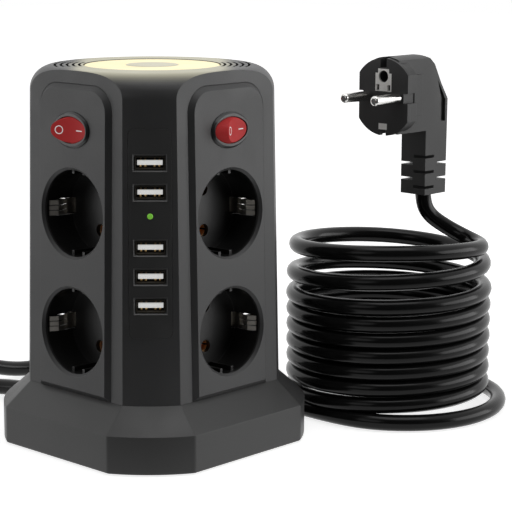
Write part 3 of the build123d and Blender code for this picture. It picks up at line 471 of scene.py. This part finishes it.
HOUSING = Plastic("Satin black housing", (0.046, 0.046, 0.046), (0.050, 0.050, 0.050), 0.42)
COLUMN = Plastic(
    "Satin black column",
    (0.045, 0.045, 0.046),
    (0.049, 0.049, 0.050),
    0.42,
    glow_colour=(1.0, 0.95, 0.67),
    spill=0.36,
)
# Painted light: the frames are coloured lighter than the housing's plastic to stand in for the light that their
# bevels catch.
PORT_FRAME_PAINTED_LIGHT = Plastic("Satin black port frame", (0.075, 0.075, 0.075), (0.08, 0.08, 0.08), 0.42, edge=0.0)
PANEL = Plastic("Satin black panel", (0.048, 0.048, 0.049), (0.052, 0.052, 0.053), 0.44)
WELL = Plastic("Socket well black", (0.012, 0.012, 0.012), (0.015, 0.015, 0.015), 0.32)
BEZEL = Plastic("Polished black bezel", (0.016, 0.016, 0.017), (0.02, 0.02, 0.021), 0.3, coat=0.1)
# Painted light: the rocker's glow stands in for light falling on it; its translucency is real scattering.
RED = Plastic(
    "Translucent red rocker",
    (0.45, 0.030, 0.032),
    (0.48, 0.034, 0.036),
    0.42,
    spread=0.03,
    depth=0.000004,
    specular=0.12,
    glow=0.13,
    glow_colour=(1.0, 0.09, 0.09),
    translucency=0.15,
)
# Painted light: the print gives no light, and its glow stands in for light falling on it.
PRINT = Plastic(
    "White print", (0.86, 0.86, 0.86), (0.80, 0.80, 0.80), 0.5, edge=0.0, glow=0.3, glow_colour=(1.0, 0.94, 0.94)
)
FOOT = Plastic(
    "Foot rubber", (0.018, 0.018, 0.018), (0.025, 0.025, 0.024), 0.75, grain=900.0, depth=0.00006
)
SHEATH = Plastic(
    "Black PVC sheath",
    (0.007, 0.007, 0.007),
    (0.009, 0.009, 0.009),
    0.17,
    spread=0.03,
    grain=500.0,
    depth=0.000004,
    specular=0.2,
    edge=0.0,
)
GLAND = Plastic("Black PVC gland", (0.014, 0.014, 0.014), (0.018, 0.018, 0.018), 0.35)
PLUG = Plastic("Satin black plug", (0.045, 0.045, 0.045), (0.049, 0.049, 0.049), 0.42, specular=0.3)
# Painted light: the tongue gives no light, and its glow stands in for light falling on its white face.
TONGUE = Plastic(
    "White port tongue",
    (0.84, 0.84, 0.83),
    (0.8, 0.8, 0.78),
    0.4,
    glow=0.5,
    glow_colour=(1.0, 1.0, 0.98),
    shaded=True,
)
BOARD = Plastic("Green solder mask", (0.012, 0.085, 0.035), (0.016, 0.10, 0.045), 0.3)
CHIP = Plastic(
    "Lit chip", (0.9, 0.75, 0.3), (0.85, 0.7, 0.28), 0.4, glow=0.6, glow_colour=(1.0, 0.9, 0.55)
)
LIGHT = Plastic(
    "Lit green light pipe", (0.1, 0.4, 0.04), (0.12, 0.45, 0.05), 0.2, glow=0.42, glow_colour=(0.26, 0.68, 0.06)
)
DIFFUSER = Plastic(
    "Lit warm diffuser", (0.20, 0.18, 0.12), (0.19, 0.17, 0.11), 0.4, glow=0.80, glow_colour=(1.0, 0.89, 0.52)
)
BUTTON = Plastic(
    "Warm touch button", (0.20, 0.195, 0.16), (0.19, 0.185, 0.15), 0.4, glow=0.40, glow_colour=(1.0, 0.95, 0.70)
)
SPRING = Metal(
    "Nickel spring steel", (0.66, 0.63, 0.58), (0.60, 0.57, 0.52), 0.3, spread=0.05, depth=0.000003
)
NICKEL = Metal(
    "Polished nickel pin", (0.86, 0.85, 0.83), (0.8, 0.79, 0.77), 0.2, spread=0.04, depth=0.000003
)
PLATE = Metal(
    "Dull tin plate",
    (0.92, 0.91, 0.88),
    (0.86, 0.85, 0.82),
    0.45,
    spread=0.06,
    depth=0.000003,
    metallic=0.35,
)
# Painted shade: the port shells are coloured dark to stand in for the shade inside the ports.
PORT_SHELL_PAINTED_SHADE = Metal("Port shell in painted shade", (0.10, 0.09, 0.075), (0.07, 0.062, 0.05), 0.4)
BRASS = Metal("Bare copper alloy", (0.85, 0.50, 0.24), (0.74, 0.42, 0.19), 0.4, metallic=0.5)
GOLD = Metal("Gold-plated contact", (0.98, 0.70, 0.32), (0.92, 0.62, 0.26), 0.4, spread=0.05, metallic=0.7)
ZINC = Metal("Zinc-plated screw", (0.6, 0.6, 0.58), (0.45, 0.45, 0.44), 0.35)
RECESS = Metal("Shaded screw recess", (0.06, 0.06, 0.06), (0.04, 0.04, 0.04), 0.6)


# ---------------------------------------------------------------- mesh helpers


def piece_from(
    mesh: bmesh.types.BMesh,
    name: str,
    finish: Plastic | Metal,
    body: str,
    smooth: bool = True,
) -> bpy.types.Object:
    """Turns a bmesh into a piece that rides on a body.

    Args:
        mesh: The geometry, which is freed.
        name: The piece's name.
        finish: The finish that dresses it.
        body: The CAD body it rides on.
        smooth: Whether its faces are smooth.

    Returns:
        The new object.
    """
    bmesh.ops.remove_doubles(mesh, verts=mesh.verts, dist=1e-7)
    bmesh.ops.recalc_face_normals(mesh, faces=mesh.faces)
    for face in mesh.faces:
        face.smooth = smooth
    data = bpy.data.meshes.new(name)
    mesh.to_mesh(data)
    mesh.free()
    thing = bpy.data.objects.new(name, data)
    bpy.context.scene.collection.objects.link(thing)
    data.materials.append(finish.material())
    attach(thing, body)
    LOG.info("piece %s on %s", name, body)
    return thing


def dress(node: str, finish: Plastic | Metal) -> None:
    """Gives a CAD node its finish.

    Args:
        node: The node's name.
        finish: The finish, which makes its material.
    """
    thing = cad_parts[node]
    thing.data.materials.clear()
    thing.data.materials.append(finish.material())


def box_into(mesh: bmesh.types.BMesh, size: Point, place: Matrix, bevel: float = 0.0) -> None:
    """Adds a box with rounded edges to a bmesh.

    Args:
        mesh: The bmesh to add to.
        size: The box's three sizes in metres.
        place: Its place.
        bevel: Radius of its edges in metres.
    """
    made = bmesh.ops.create_cube(mesh, size=1.0, matrix=place @ Matrix.Diagonal((*size, 1.0)))
    if bevel:
        edges = list({edge for vert in made["verts"] for edge in vert.link_edges})
        bmesh.ops.bevel(
            mesh, geom=edges, offset=bevel, segments=2, profile=0.5, affect="EDGES", material=-1
        )


@dataclass(frozen=True)
class LeaningFace:
    """A face that leans in as it rises: x to the right, y up, z outwards.

    Attributes:
        angle: Angle of its outward direction in degrees.
        distance: Distance of its plane from the axis at the floor, in metres.
        draft: How much it leans in for each metre up.
    """

    angle: float
    distance: float
    draft: float

    def place(self, x: float, y: float, z: float) -> Matrix:
        """A place on the face.

        Args:
            x: Metres to the right.
            y: Metres up the face.
            z: Metres outwards.

        Returns:
            A matrix that takes the face's own axes to the object's.
        """
        turn = math.radians(self.angle)
        out = Vector((math.cos(turn), math.sin(turn), self.draft)).normalized()
        right = Vector((-math.sin(turn), math.cos(turn), 0.0))
        up = out.cross(right)
        foot = Vector((math.cos(turn), math.sin(turn), 0.0)) * self.distance
        origin = foot + right * x + up * y + out * z
        turned = Matrix((right, up, out)).transposed().to_4x4()
        return Matrix.Translation(origin) @ turned


# ---------------------------------------------------------------- sub-assemblies


@dataclass
class Housing:
    """Base, column and what closes them.

    Attributes:
        plain: The nodes in the plain housing finish.
        screw_distance: Distance of the bottom screws from the axis.
        screw_face: Height of their heads' faces.
        cross_bar: Length, width and depth of one bar of a cross recess.
        cross_edge: Radius of the bar's edges.
        cross_turn: How far each screw is turned past the one before, in degrees.
    """

    plain: tuple[str, ...] = ("base_shell", "bottom_plate", "usb_panel", "cord_clamp")
    screw_distance: float = 63.2 * MM
    screw_face: float = 0.6 * MM
    cross_bar: Point = (3.0 * MM, 0.75 * MM, 0.12 * MM)
    cross_edge: float = 0.04 * MM
    cross_turn: float = 20.0

    def build(self) -> None:
        """Dresses the shells, feet and screws."""
        for node in self.plain:
            dress(node, HOUSING)
        dress("tower_housing", COLUMN)
        dress("rubber_feet", FOOT)
        for node in ("base_screws", "housing_screws", "clamp_screws"):
            dress(node, ZINC)
        piece_from(self.screw_crosses(), "screw_crosses", RECESS, "tower")

    def screw_crosses(self) -> bmesh.types.BMesh:
        """Builds the dark cross recess in the head of each screw of the bottom plate."""
        mesh = bmesh.new()
        for turn in range(4):
            way = Matrix.Rotation(math.radians(45.0 + 90.0 * turn), 4, "Z")
            head = way @ Matrix.Translation((self.screw_distance, 0.0, self.screw_face))
            for across in (0.0, 90.0):
                bar = head @ Matrix.Rotation(math.radians(across + self.cross_turn * turn), 4, "Z")
                box_into(mesh, self.cross_bar, bar, self.cross_edge)
        return mesh


@dataclass
class RockerSwitch:
    """One rocker switch: its case, its rocker and the marks printed on it.

    Attributes:
        side: The face it's on.
        height: Its height up the face.
        pivot: Outward distance of the pivot from the face's plane.
        tilt: How far the rocker is tipped at rest, in degrees.
        half_length: Half of the dished top's length.
        end_height: Height of the dish's ends above the pivot.
        dish_radius: Radius of the dish.
        mark_place: Distance of each mark from the middle.
        ring_radius: Middle radius of the round mark.
        ring_sides: Number of sides of the round mark.
        bar_length: Length of the straight mark.
        bar_steps: Number of parts of the straight mark, which follow the dish.
        stroke: Width of the printed lines.
        lift: How far the print's outer skin stands off the dish.
        film: Thickness of the print.
    """

    side: Side
    height: float = 150.6 * MM
    pivot: float = 1.1 * MM
    tilt: float = 17.5
    half_length: float = 8.945 * MM
    end_height: float = 4.8 * MM
    dish_radius: float = 26.0 * MM
    mark_place: float = 5.2 * MM
    ring_radius: float = 1.75 * MM
    ring_sides: int = 40
    bar_length: float = 3.4 * MM
    bar_steps: int = 8
    stroke: float = 0.42 * MM
    lift: float = 0.04 * MM
    film: float = 0.05 * MM

    def surface(self, along: float) -> float:
        """Height of the dish above the pivot at a distance from the middle."""
        sag = self.dish_radius - math.sqrt(self.dish_radius**2 - self.half_length**2)
        centre = self.end_height - sag + self.dish_radius
        return centre - math.sqrt(self.dish_radius**2 - along**2)

    def marks(self) -> bmesh.types.BMesh:
        """Builds the ring and the bar, laid on the dish as printed film."""
        mesh = bmesh.new()
        outer = self.ring_radius + self.stroke / 2
        ring = bmesh.ops.create_circle(
            mesh,
            cap_ends=False,
            segments=self.ring_sides,
            radius=outer,
            matrix=Matrix.Translation((-self.mark_place, 0.0, 0.0)),
        )
        edges = list({edge for vert in ring["verts"] for edge in vert.link_edges})
        grown = bmesh.ops.extrude_edge_only(mesh, edges=edges)
        inner = [item for item in grown["geom"] if isinstance(item, bmesh.types.BMVert)]
        ratio = (self.ring_radius - self.stroke / 2) / outer
        middle = Matrix.Translation((self.mark_place, 0.0, 0.0))
        bmesh.ops.scale(mesh, vec=(ratio, ratio, 1.0), space=middle, verts=inner)
        bmesh.ops.create_grid(
            mesh,
            x_segments=self.bar_steps,
            y_segments=1,
            size=0.5,
            matrix=middle @ Matrix.Diagonal((self.bar_length, self.stroke * 1.15, 1.0, 1.0)),
        )
        for vert in mesh.verts:
            vert.co.z = self.surface(vert.co.x) + self.lift
        bmesh.ops.solidify(mesh, geom=list(mesh.faces), thickness=self.film)
        return mesh

    def build(self) -> None:
        """Dresses the switch and adds its marks."""
        word = self.side.word
        dress(f"switch_case_{word}", BEZEL)
        dress(f"rocker_{word}", RED)
        mesh = self.marks()
        face = LeaningFace(self.side.value, FACE_DISTANCE, FACE_DRAFT).place(0.0, self.height, self.pivot)
        tipped = face @ Matrix.Rotation(math.radians(self.tilt), 4, "Y")
        bmesh.ops.transform(mesh, matrix=tipped, verts=mesh.verts)
        piece_from(mesh, f"rocker_marks_{word}", PRINT, f"rocker_{word}")


@dataclass
class SocketFace:
    """One face: panel, two socket wells, earth clips, contacts and the switch.

    Attributes:
        side: The face.
    """

    side: Side

    def build(self) -> None:
        """Dresses the face's nodes and builds its switch."""
        word = self.side.word
        dress(f"socket_panel_{word}", PANEL)
        for level in ("upper", "lower"):
            dress(f"socket_cup_{word}_{level}", WELL)
        dress(f"earth_clips_{word}", SPRING)
        dress(f"contacts_{word}", BRASS)
        RockerSwitch(self.side).build()


@dataclass
class ChargingPorts:
    """Charging ports: shells, tongues, gold contacts, board and light.

    Attributes:
        heights: Heights of the ports up the column.
        face: The column's leaning surface.
        contact_places: Distances of the contacts from the middle of a port.
        tongue_half: Half of a tongue's thickness.
        strip: Size of the contact strip over a tongue.
        strip_rise: How far its middle lies above the tongue.
        strip_depth: How far its middle lies behind the column's surface.
        strip_edge: Radius of its edges.
        bulge: Size of the sprung bulge under a tongue.
        bulge_drop: How far its middle lies below the tongue.
        bulge_depth: How far its middle lies behind the column's surface.
        bulge_edge: Radius of its edges.
        mouth: Width and height of a shell's mouth.
        flare: How far the frame's funnel opens.
        land: Width of the frame's flat rim.
        rim: How far the rim stands proud of the column.
        skirt: How deep the frame's outer wall goes.
        lip: How far the funnel's inner end stays clear of the shell.
    """

    heights: tuple[float, ...] = (138.6 * MM, 125.5 * MM, 100.9 * MM, 87.8 * MM, 74.7 * MM)
    face: LeaningFace = LeaningFace(-45.0, 60.2 * MM, 0.0207)
    contact_places: tuple[float, ...] = (-4.2 * MM, -2.1 * MM, 2.1 * MM, 4.2 * MM)
    tongue_half: float = 0.95 * MM
    strip: Point = (0.9 * MM, 0.24 * MM, 5.4 * MM)
    strip_rise: float = 0.12 * MM
    strip_depth: float = 7.4 * MM
    strip_edge: float = 0.06 * MM
    bulge: Point = (0.85 * MM, 1.05 * MM, 1.4 * MM)
    bulge_drop: float = 0.5 * MM
    bulge_depth: float = 2.6 * MM
    bulge_edge: float = 0.25 * MM
    mouth: Span = (13.1 * MM, 5.7 * MM)
    flare: float = 1.0 * MM
    land: float = 0.12 * MM
    rim: float = 0.04 * MM
    skirt: float = 0.75 * MM
    lip: float = 0.1 * MM

    def frames(self) -> bmesh.types.BMesh:
        """Builds each port's moulded frame: a closed ring with a narrow rim and a funnel to the shell."""
        mesh = bmesh.new()
        steps = (
            (self.flare + self.land, -self.skirt),
            (self.flare + self.land, self.rim),
            (self.flare, self.rim),
            (self.lip, self.rim - self.flare + self.lip),
        )
        for height in self.heights:
            loops = []
            for grow, out in steps:
                across, along = self.mouth[0] / 2 + grow, self.mouth[1] / 2 + grow
                corners = ((-across, -along), (across, -along), (across, along), (-across, along))
                places = [self.face.place(x, height + y, out).translation for x, y in corners]
                loops.append([mesh.verts.new(place) for place in places])
            for outer, inner in zip(loops, [*loops[1:], loops[0]]):
                for corner in range(4):
                    after = (corner + 1) % 4
                    mesh.faces.new((outer[corner], outer[after], inner[after], inner[corner]))
        return mesh

    def contacts(self) -> bmesh.types.BMesh:
        """Builds the gold contacts of each tongue: strips over it and sprung bulges under it."""
        mesh = bmesh.new()
        for height in self.heights:
            for across in self.contact_places:
                over = height + self.tongue_half + self.strip_rise
                box_into(mesh, self.strip, self.face.place(across, over, -self.strip_depth), self.strip_edge)
                under = height - self.tongue_half - self.bulge_drop
                box_into(mesh, self.bulge, self.face.place(across, under, -self.bulge_depth), self.bulge_edge)
        return mesh

    def build(self) -> None:
        """Dresses the ports and adds their contacts."""
        dress("port_shells", PORT_SHELL_PAINTED_SHADE)
        dress("port_tongues", TONGUE)
        dress("usb_board", BOARD)
        dress("indicator_light", LIGHT)
        piece_from(self.contacts(), "port_contacts", GOLD, "tower")
        piece_from(self.frames(), "port_frames", PORT_FRAME_PAINTED_LIGHT, "tower", smooth=False)


@dataclass
class Lamp:
    """Round lamp on the top with its touch button and board."""

    def build(self) -> None:
        """Dresses the lamp."""
        dress("lamp_diffuser", DIFFUSER)
        dress("touch_button", BUTTON)
        dress("lamp_board", BOARD)
        dress("lamp_chips", CHIP)


@dataclass
class MainsLead:
    """The whole lead: floor run, coil and riser as one curve, with its gland.

    Attributes:
        diameter: Thickness of the sheath.
        floor_run: Route from the gland to the coil, in millimetres.
        riser: Route from the coil's top to the plug, in millimetres.
        coil_centre: Middle of the coil, in millimetres.
        step: Angle between two points of a turn, in degrees.
        knots: Angle, radius and height along the coil, in degrees and millimetres.
        round_steps: Fineness of the curve round its section.
        long_steps: Fineness of the curve along its length.
    """

    diameter: float = 8.0 * MM
    floor_run: tuple[Point, ...] = (
        (-82.9, -8.0, 7.2),
        (-100.0, -10.5, 6.0),
        (-121.0, -19.0, 4.05),
        (-146.0, -23.6, 4.05),
        (-173.5, -23.0, 4.05),
        (-191.6, -33.4, 4.05),
        (-202.0, -51.5, 4.05),
        (-202.0, -72.5, 4.05),
        (-191.6, -90.6, 4.05),
        (-173.5, -101.0, 4.05),
        (-152.5, -101.0, 4.05),
        (-134.4, -90.6, 4.05),
        (-124.2, -72.5, 4.05),
        (-125.0, -35.5, 13.2),
        (-125.6, -9.0, 13.2),
        (-126.4, 20.0, 4.05),
        (-125.2, 43.5, 4.05),
        (-114.5, 63.0, 4.05),
        (-95.0, 74.4, 4.05),
        (-66.0, 76.0, 4.05),
        (-36.0, 75.2, 4.05),
        (-6.0, 73.0, 4.05),
        (22.0, 70.6, 4.05),
    )
    riser: tuple[Point, ...] = (
        (92.0, 134.5, 83.8),
        (84.5, 145.5, 83.4),
        (73.0, 148.6, 85.2),
        (63.0, 144.6, 90.0),
        (57.0, 137.6, 96.5),
        (55.4, 134.7, 104.0),
        (55.4, 134.7, 111.0),
    )
    coil_centre: tuple[float, float] = (47.5, 118.2)
    step: float = 24.0
    knots: tuple[Point, ...] = (
        (285.0, 48.8, 4.05),
        (330.0, 53.2, 4.05),
        (360.0, 55.6, 4.05),
        (399.0, 56.8, 4.05),
        (440.0, 55.4, 4.05),
        (470.0, 53.4, 4.4),
        (540.0, 49.4, 7.0),
        (586.5, 47.9, 8.9),
        (640.0, 47.6, 10.8),
        (676.5, 47.6, 11.9),
        (1036.5, 47.6, 19.9),
        (1396.5, 47.4, 27.8),
        (1756.5, 47.6, 35.8),
        (2116.5, 47.5, 43.8),
        (2386.5, 47.6, 49.8),
        (2476.5, 47.7, 51.9),
        (2566.5, 47.6, 53.6),
        (2656.5, 47.5, 55.8),
        (2746.5, 47.8, 57.9),
        (2836.5, 47.8, 60.3),
        (2926.5, 47.9, 61.7),
        (3016.5, 47.2, 64.6),
        (3106.5, 47.6, 68.8),
        (3196.5, 47.4, 72.7),
        (3286.5, 47.2, 74.4),
        (3376.5, 45.6, 79.2),
        (3466.5, 46.6, 82.8),
        (3516.5, 46.0, 85.2),
        (3556.5, 45.4, 86.4),
        (3600.0, 45.5, 85.0),
        (3612.0, 45.6, 84.5),
    )
    round_steps: int = 5
    long_steps: int = 6

    def at_angle(self, angle: float) -> tuple[float, float]:
        """Radius and height of the coil at an angle, smooth between the knots."""
        low = self.knots[0]
        for high in self.knots[1:]:
            if angle <= high[0]:
                share = (angle - low[0]) / (high[0] - low[0])
                return low[1] + (high[1] - low[1]) * share, low[2] + (high[2] - low[2]) * share
            low = high
        return low[1], low[2]

    def coil_points(self) -> list[Point]:
        """Control points of the wound turns, just outside the line that they give."""
        points = []
        angle = self.knots[0][0]
        reach = 1.0 / (0.75 + 0.25 * math.cos(math.radians(self.step)))
        while angle <= self.knots[-1][0]:
            radius, height = self.at_angle(angle)
            turn = math.radians(angle)
            points.append(
                (
                    self.coil_centre[0] + radius * reach * math.cos(turn),
                    self.coil_centre[1] + radius * reach * math.sin(turn),
                    height,
                )
            )
            angle += self.step
        return points

    def build(self) -> bpy.types.Object:
        """Returns:
            The curve object.
        """
        points = [*self.floor_run, *self.coil_points(), *self.riser]
        data = bpy.data.curves.new("mains_lead", "CURVE")
        data.dimensions = "3D"
        data.bevel_depth = self.diameter / 2
        data.bevel_resolution = self.round_steps
        data.resolution_u = self.long_steps
        data.use_fill_caps = True
        line = data.splines.new("NURBS")
        line.points.add(len(points) - 1)
        for spot, point in zip(line.points, points):
            spot.co = (point[0] * MM, point[1] * MM, point[2] * MM, 1.0)
        line.order_u = 3
        line.use_endpoint_u = True
        line.use_smooth = True
        lead = bpy.data.objects.new("mains_lead", data)
        bpy.context.scene.collection.objects.link(lead)
        data.materials.append(SHEATH.material())
        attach(lead, "tower")
        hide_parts("power_cord", "cord_coil", "plug_lead")
        dress("cord_gland", GLAND)
        dress("cord_tail", SHEATH)
        return lead


@dataclass
class Plug:
    """Angled plug with its pins and earth contacts."""

    def build(self) -> None:
        """Dresses the plug."""
        dress("plug_body", PLUG)
        dress("plug_pins", NICKEL)
        dress("plug_earth_contacts", PLATE)


# ---------------------------------------------------------------- studio


@dataclass(frozen=True)
class Softbox:
    """A soft area light aimed at the object's middle.

    Attributes:
        name: The light's name.
        azimuth: Direction of the light seen from the object, in degrees from +X.
        elevation: Its height above the horizon in degrees.
        distance: Its distance in metres.
        size: Its width and height in metres.
        power: Its power in watts.
        aim: The object's middle.
    """

    name: str
    azimuth: float
    elevation: float
    distance: float
    size: Span
    power: float
    aim: Point = (0.02, 0.03, 0.08)

    def build(self) -> None:
        """Adds the light."""
        data = bpy.data.lights.new(self.name, "AREA")
        data.shape = "RECTANGLE"
        data.size, data.size_y = self.size
        data.energy = self.power
        lamp = bpy.data.objects.new(self.name, data)
        bpy.context.scene.collection.objects.link(lamp)
        turn, rise = math.radians(self.azimuth), math.radians(self.elevation)
        way = Vector((math.cos(turn) * math.cos(rise), math.sin(turn) * math.cos(rise), math.sin(rise)))
        lamp.location = Vector(self.aim) + way * self.distance
        lamp.rotation_euler = way.to_track_quat("Z", "Y").to_euler()


@dataclass
class Studio:
    """Plain pale floor, soft lights, pale surround and the camera.

    Attributes:
        camera_place: Place of the camera.
        heading: Turn of the camera about the vertical, in degrees.
        tilt: How far it looks down, in degrees.
        roll: Its turn about its own line of sight, in degrees.
        lens: Its focal length in millimetres.
        sensor: Width of its sensor in millimetres.
        floor_size: Half of the floor's width.
        floor_drop: How far the floor lies under the feet.
        floor_tone: The floor's own grey.
        floor_near: How brightly the floor glows under the object.
        floor_fade: Where that glow rises to full white, as distances from the object.
        floor_bounce: Grey of the floor as the object's surfaces see it.
        floor_side: Where the mirrored floor falls off to the dark side.
        room: Level of the surround's soft light.
        room_side: Where the mirrored surround falls off to the dark side.
        dark: Level of the dark side.
        softboxes: The lights.
    """

    camera_place: Point = (0.6131, -0.5832, 0.2483)
    heading: float = 43.146
    tilt: float = 10.847
    roll: float = 0.2018
    lens: float = 127.6
    sensor: float = 36.0
    floor_size: float = 3.0
    floor_drop: float = 0.2 * MM
    floor_tone: float = 0.8
    floor_near: float = 0.8
    floor_fade: Span = (0.15, 0.6)
    floor_bounce: float = 0.3
    floor_side: Span = (0.05, 0.20)
    room: float = 0.16
    room_side: Span = (0.15, 0.7)
    dark: float = 0.06
    softboxes: tuple[Softbox, ...] = (
        Softbox("left softbox", -140.0, 3.0, 1.4, (1.3, 0.7), 3.8),
        Softbox("right softbox", 38.0, 6.0, 1.4, (1.3, 1.0), 11.5),
        Softbox("front softbox", -80.0, 22.0, 1.3, (0.6, 0.6), 0.9),
        Softbox("top softbox", -30.0, 78.0, 1.4, (0.9, 0.9), 4.0),
    )

    def camera(self) -> None:
        """Places the camera."""
        data = bpy.data.cameras.new("camera")
        data.lens = self.lens
        data.sensor_width = self.sensor
        data.clip_start = 0.01
        eye = bpy.data.objects.new("camera", data)
        bpy.context.scene.collection.objects.link(eye)
        turned = (
            Matrix.Rotation(math.radians(self.heading), 4, "Z")
            @ Matrix.Rotation(math.radians(90.0 - self.tilt), 4, "X")
            @ Matrix.Rotation(math.radians(self.roll), 4, "Z")
        )
        eye.matrix_world = Matrix.Translation(self.camera_place) @ turned
        bpy.context.scene.camera = eye

    def floor(self) -> None:
        """Adds the pale floor, which shows white but keeps the object's shadow."""
        mesh = bmesh.new()
        bmesh.ops.create_grid(mesh, x_segments=1, y_segments=1, size=self.floor_size)
        data = bpy.data.meshes.new("floor")
        mesh.to_mesh(data)
        mesh.free()
        ground = bpy.data.objects.new("floor", data)
        bpy.context.scene.collection.objects.link(ground)
        ground.location = (0.0, 0.0, -self.floor_drop)
        made = bpy.data.materials.new("Pale floor")
        made.use_nodes = True
        nodes = Nodes(made.node_tree)
        shader = made.node_tree.nodes["Principled BSDF"]
        shader.inputs["Base Color"].default_value = (*[self.floor_tone] * 3, 1.0)
        shader.inputs["Roughness"].default_value = 0.9
        shader.inputs["Specular IOR Level"].default_value = 0.1
        place = nodes.add("ShaderNodeTexCoord")
        reach = nodes.add("ShaderNodeVectorMath", operation="LENGTH")
        nodes.join(place.outputs["Object"], reach.inputs[0])
        glow = nodes.add("ShaderNodeEmission")
        lift = nodes.remap(reach.outputs["Value"], *self.floor_fade, self.floor_near, 1.0)
        nodes.join(lift, glow.inputs["Strength"])
        path = nodes.add("ShaderNodeLightPath")
        both = nodes.add("ShaderNodeAddShader")
        dim = nodes.add("ShaderNodeBsdfDiffuse")
        dim.inputs["Color"].default_value = (*[self.floor_bounce] * 3, 1.0)
        mirrored = nodes.add("ShaderNodeEmission")
        around = self.mask(nodes, place.outputs["Object"], self.floor_side)
        nodes.join(around, mirrored.inputs["Strength"])
        shine = nodes.add("ShaderNodeMixShader")
        pick = nodes.add("ShaderNodeMixShader")
        result = made.node_tree.nodes["Material Output"]
        nodes.join(shader.outputs[0], both.inputs[0])
        nodes.join(glow.outputs[0], both.inputs[1])
        nodes.join(path.outputs["Is Glossy Ray"], shine.inputs[0])
        nodes.join(dim.outputs[0], shine.inputs[1])
        nodes.join(mirrored.outputs[0], shine.inputs[2])
        nodes.join(path.outputs["Is Camera Ray"], pick.inputs[0])
        nodes.join(shine.outputs[0], pick.inputs[1])
        nodes.join(both.outputs[0], pick.inputs[2])
        nodes.join(pick.outputs[0], result.inputs["Surface"])
        data.materials.append(made)

    def mask(self, nodes: Nodes, vector: bpy.types.NodeSocket, fall: Span) -> bpy.types.NodeSocket:
        """Adds a value that is 1 behind and beside the object and low on the dark side of the room.

        Args:
            nodes: The tree to add to.
            vector: Direction or place to judge.
            fall: How far forward the fall begins and ends.

        Returns:
            The value.
        """
        turn = math.radians(self.heading - 90.0)
        dot = nodes.add("ShaderNodeVectorMath", operation="DOT_PRODUCT")
        nodes.join(vector, dot.inputs[0])
        dot.inputs[1].default_value = (math.cos(turn), math.sin(turn), 0.0)
        return nodes.remap(dot.outputs["Value"], *fall, 1.0, self.dark)

    def surround(self) -> None:
        """Sets the world: white behind and beside the object, with a dark side that keeps corners dark."""
        world = bpy.data.worlds.new("surround")
        bpy.context.scene.world = world
        world.use_nodes = True
        nodes = Nodes(world.node_tree)
        result = world.node_tree.nodes["World Output"]
        room = world.node_tree.nodes["Background"]
        room.inputs["Color"].default_value = (*WHITE, 1.0)
        place = nodes.add("ShaderNodeTexCoord")
        around = self.mask(nodes, place.outputs["Generated"], self.room_side)
        path = nodes.add("ShaderNodeLightPath")
        level = nodes.math("MAXIMUM", path.outputs["Is Glossy Ray"], self.room)
        nodes.join(nodes.math("MULTIPLY", around, level), room.inputs["Strength"])
        white = nodes.add("ShaderNodeBackground")
        white.inputs["Color"].default_value = (*WHITE, 1.0)
        white.inputs["Strength"].default_value = 1.0
        pick = nodes.add("ShaderNodeMixShader")
        seen = nodes.math("ADD", path.outputs["Is Camera Ray"], path.outputs["Is Transmission Ray"], clamp=True)
        nodes.join(seen, pick.inputs[0])
        nodes.join(room.outputs[0], pick.inputs[1])
        nodes.join(white.outputs[0], pick.inputs[2])
        nodes.join(pick.outputs[0], result.inputs["Surface"])

    def build(self) -> None:
        """Builds the whole studio."""
        self.camera()
        self.floor()
        self.surround()
        for softbox in self.softboxes:
            softbox.build()
        bpy.context.scene.view_settings.view_transform = "Standard"


def main() -> None:
    """Builds every sub-assembly and the studio."""
    logging.basicConfig(level=logging.INFO, format="%(name)s: %(message)s")
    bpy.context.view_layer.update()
    Studio().build()
    Housing().build()
    for side in Side:
        SocketFace(side).build()
    ChargingPorts().build()
    Lamp().build()
    MainsLead().build()
    Plug().build()


if __name__ == "__main__":
    main()
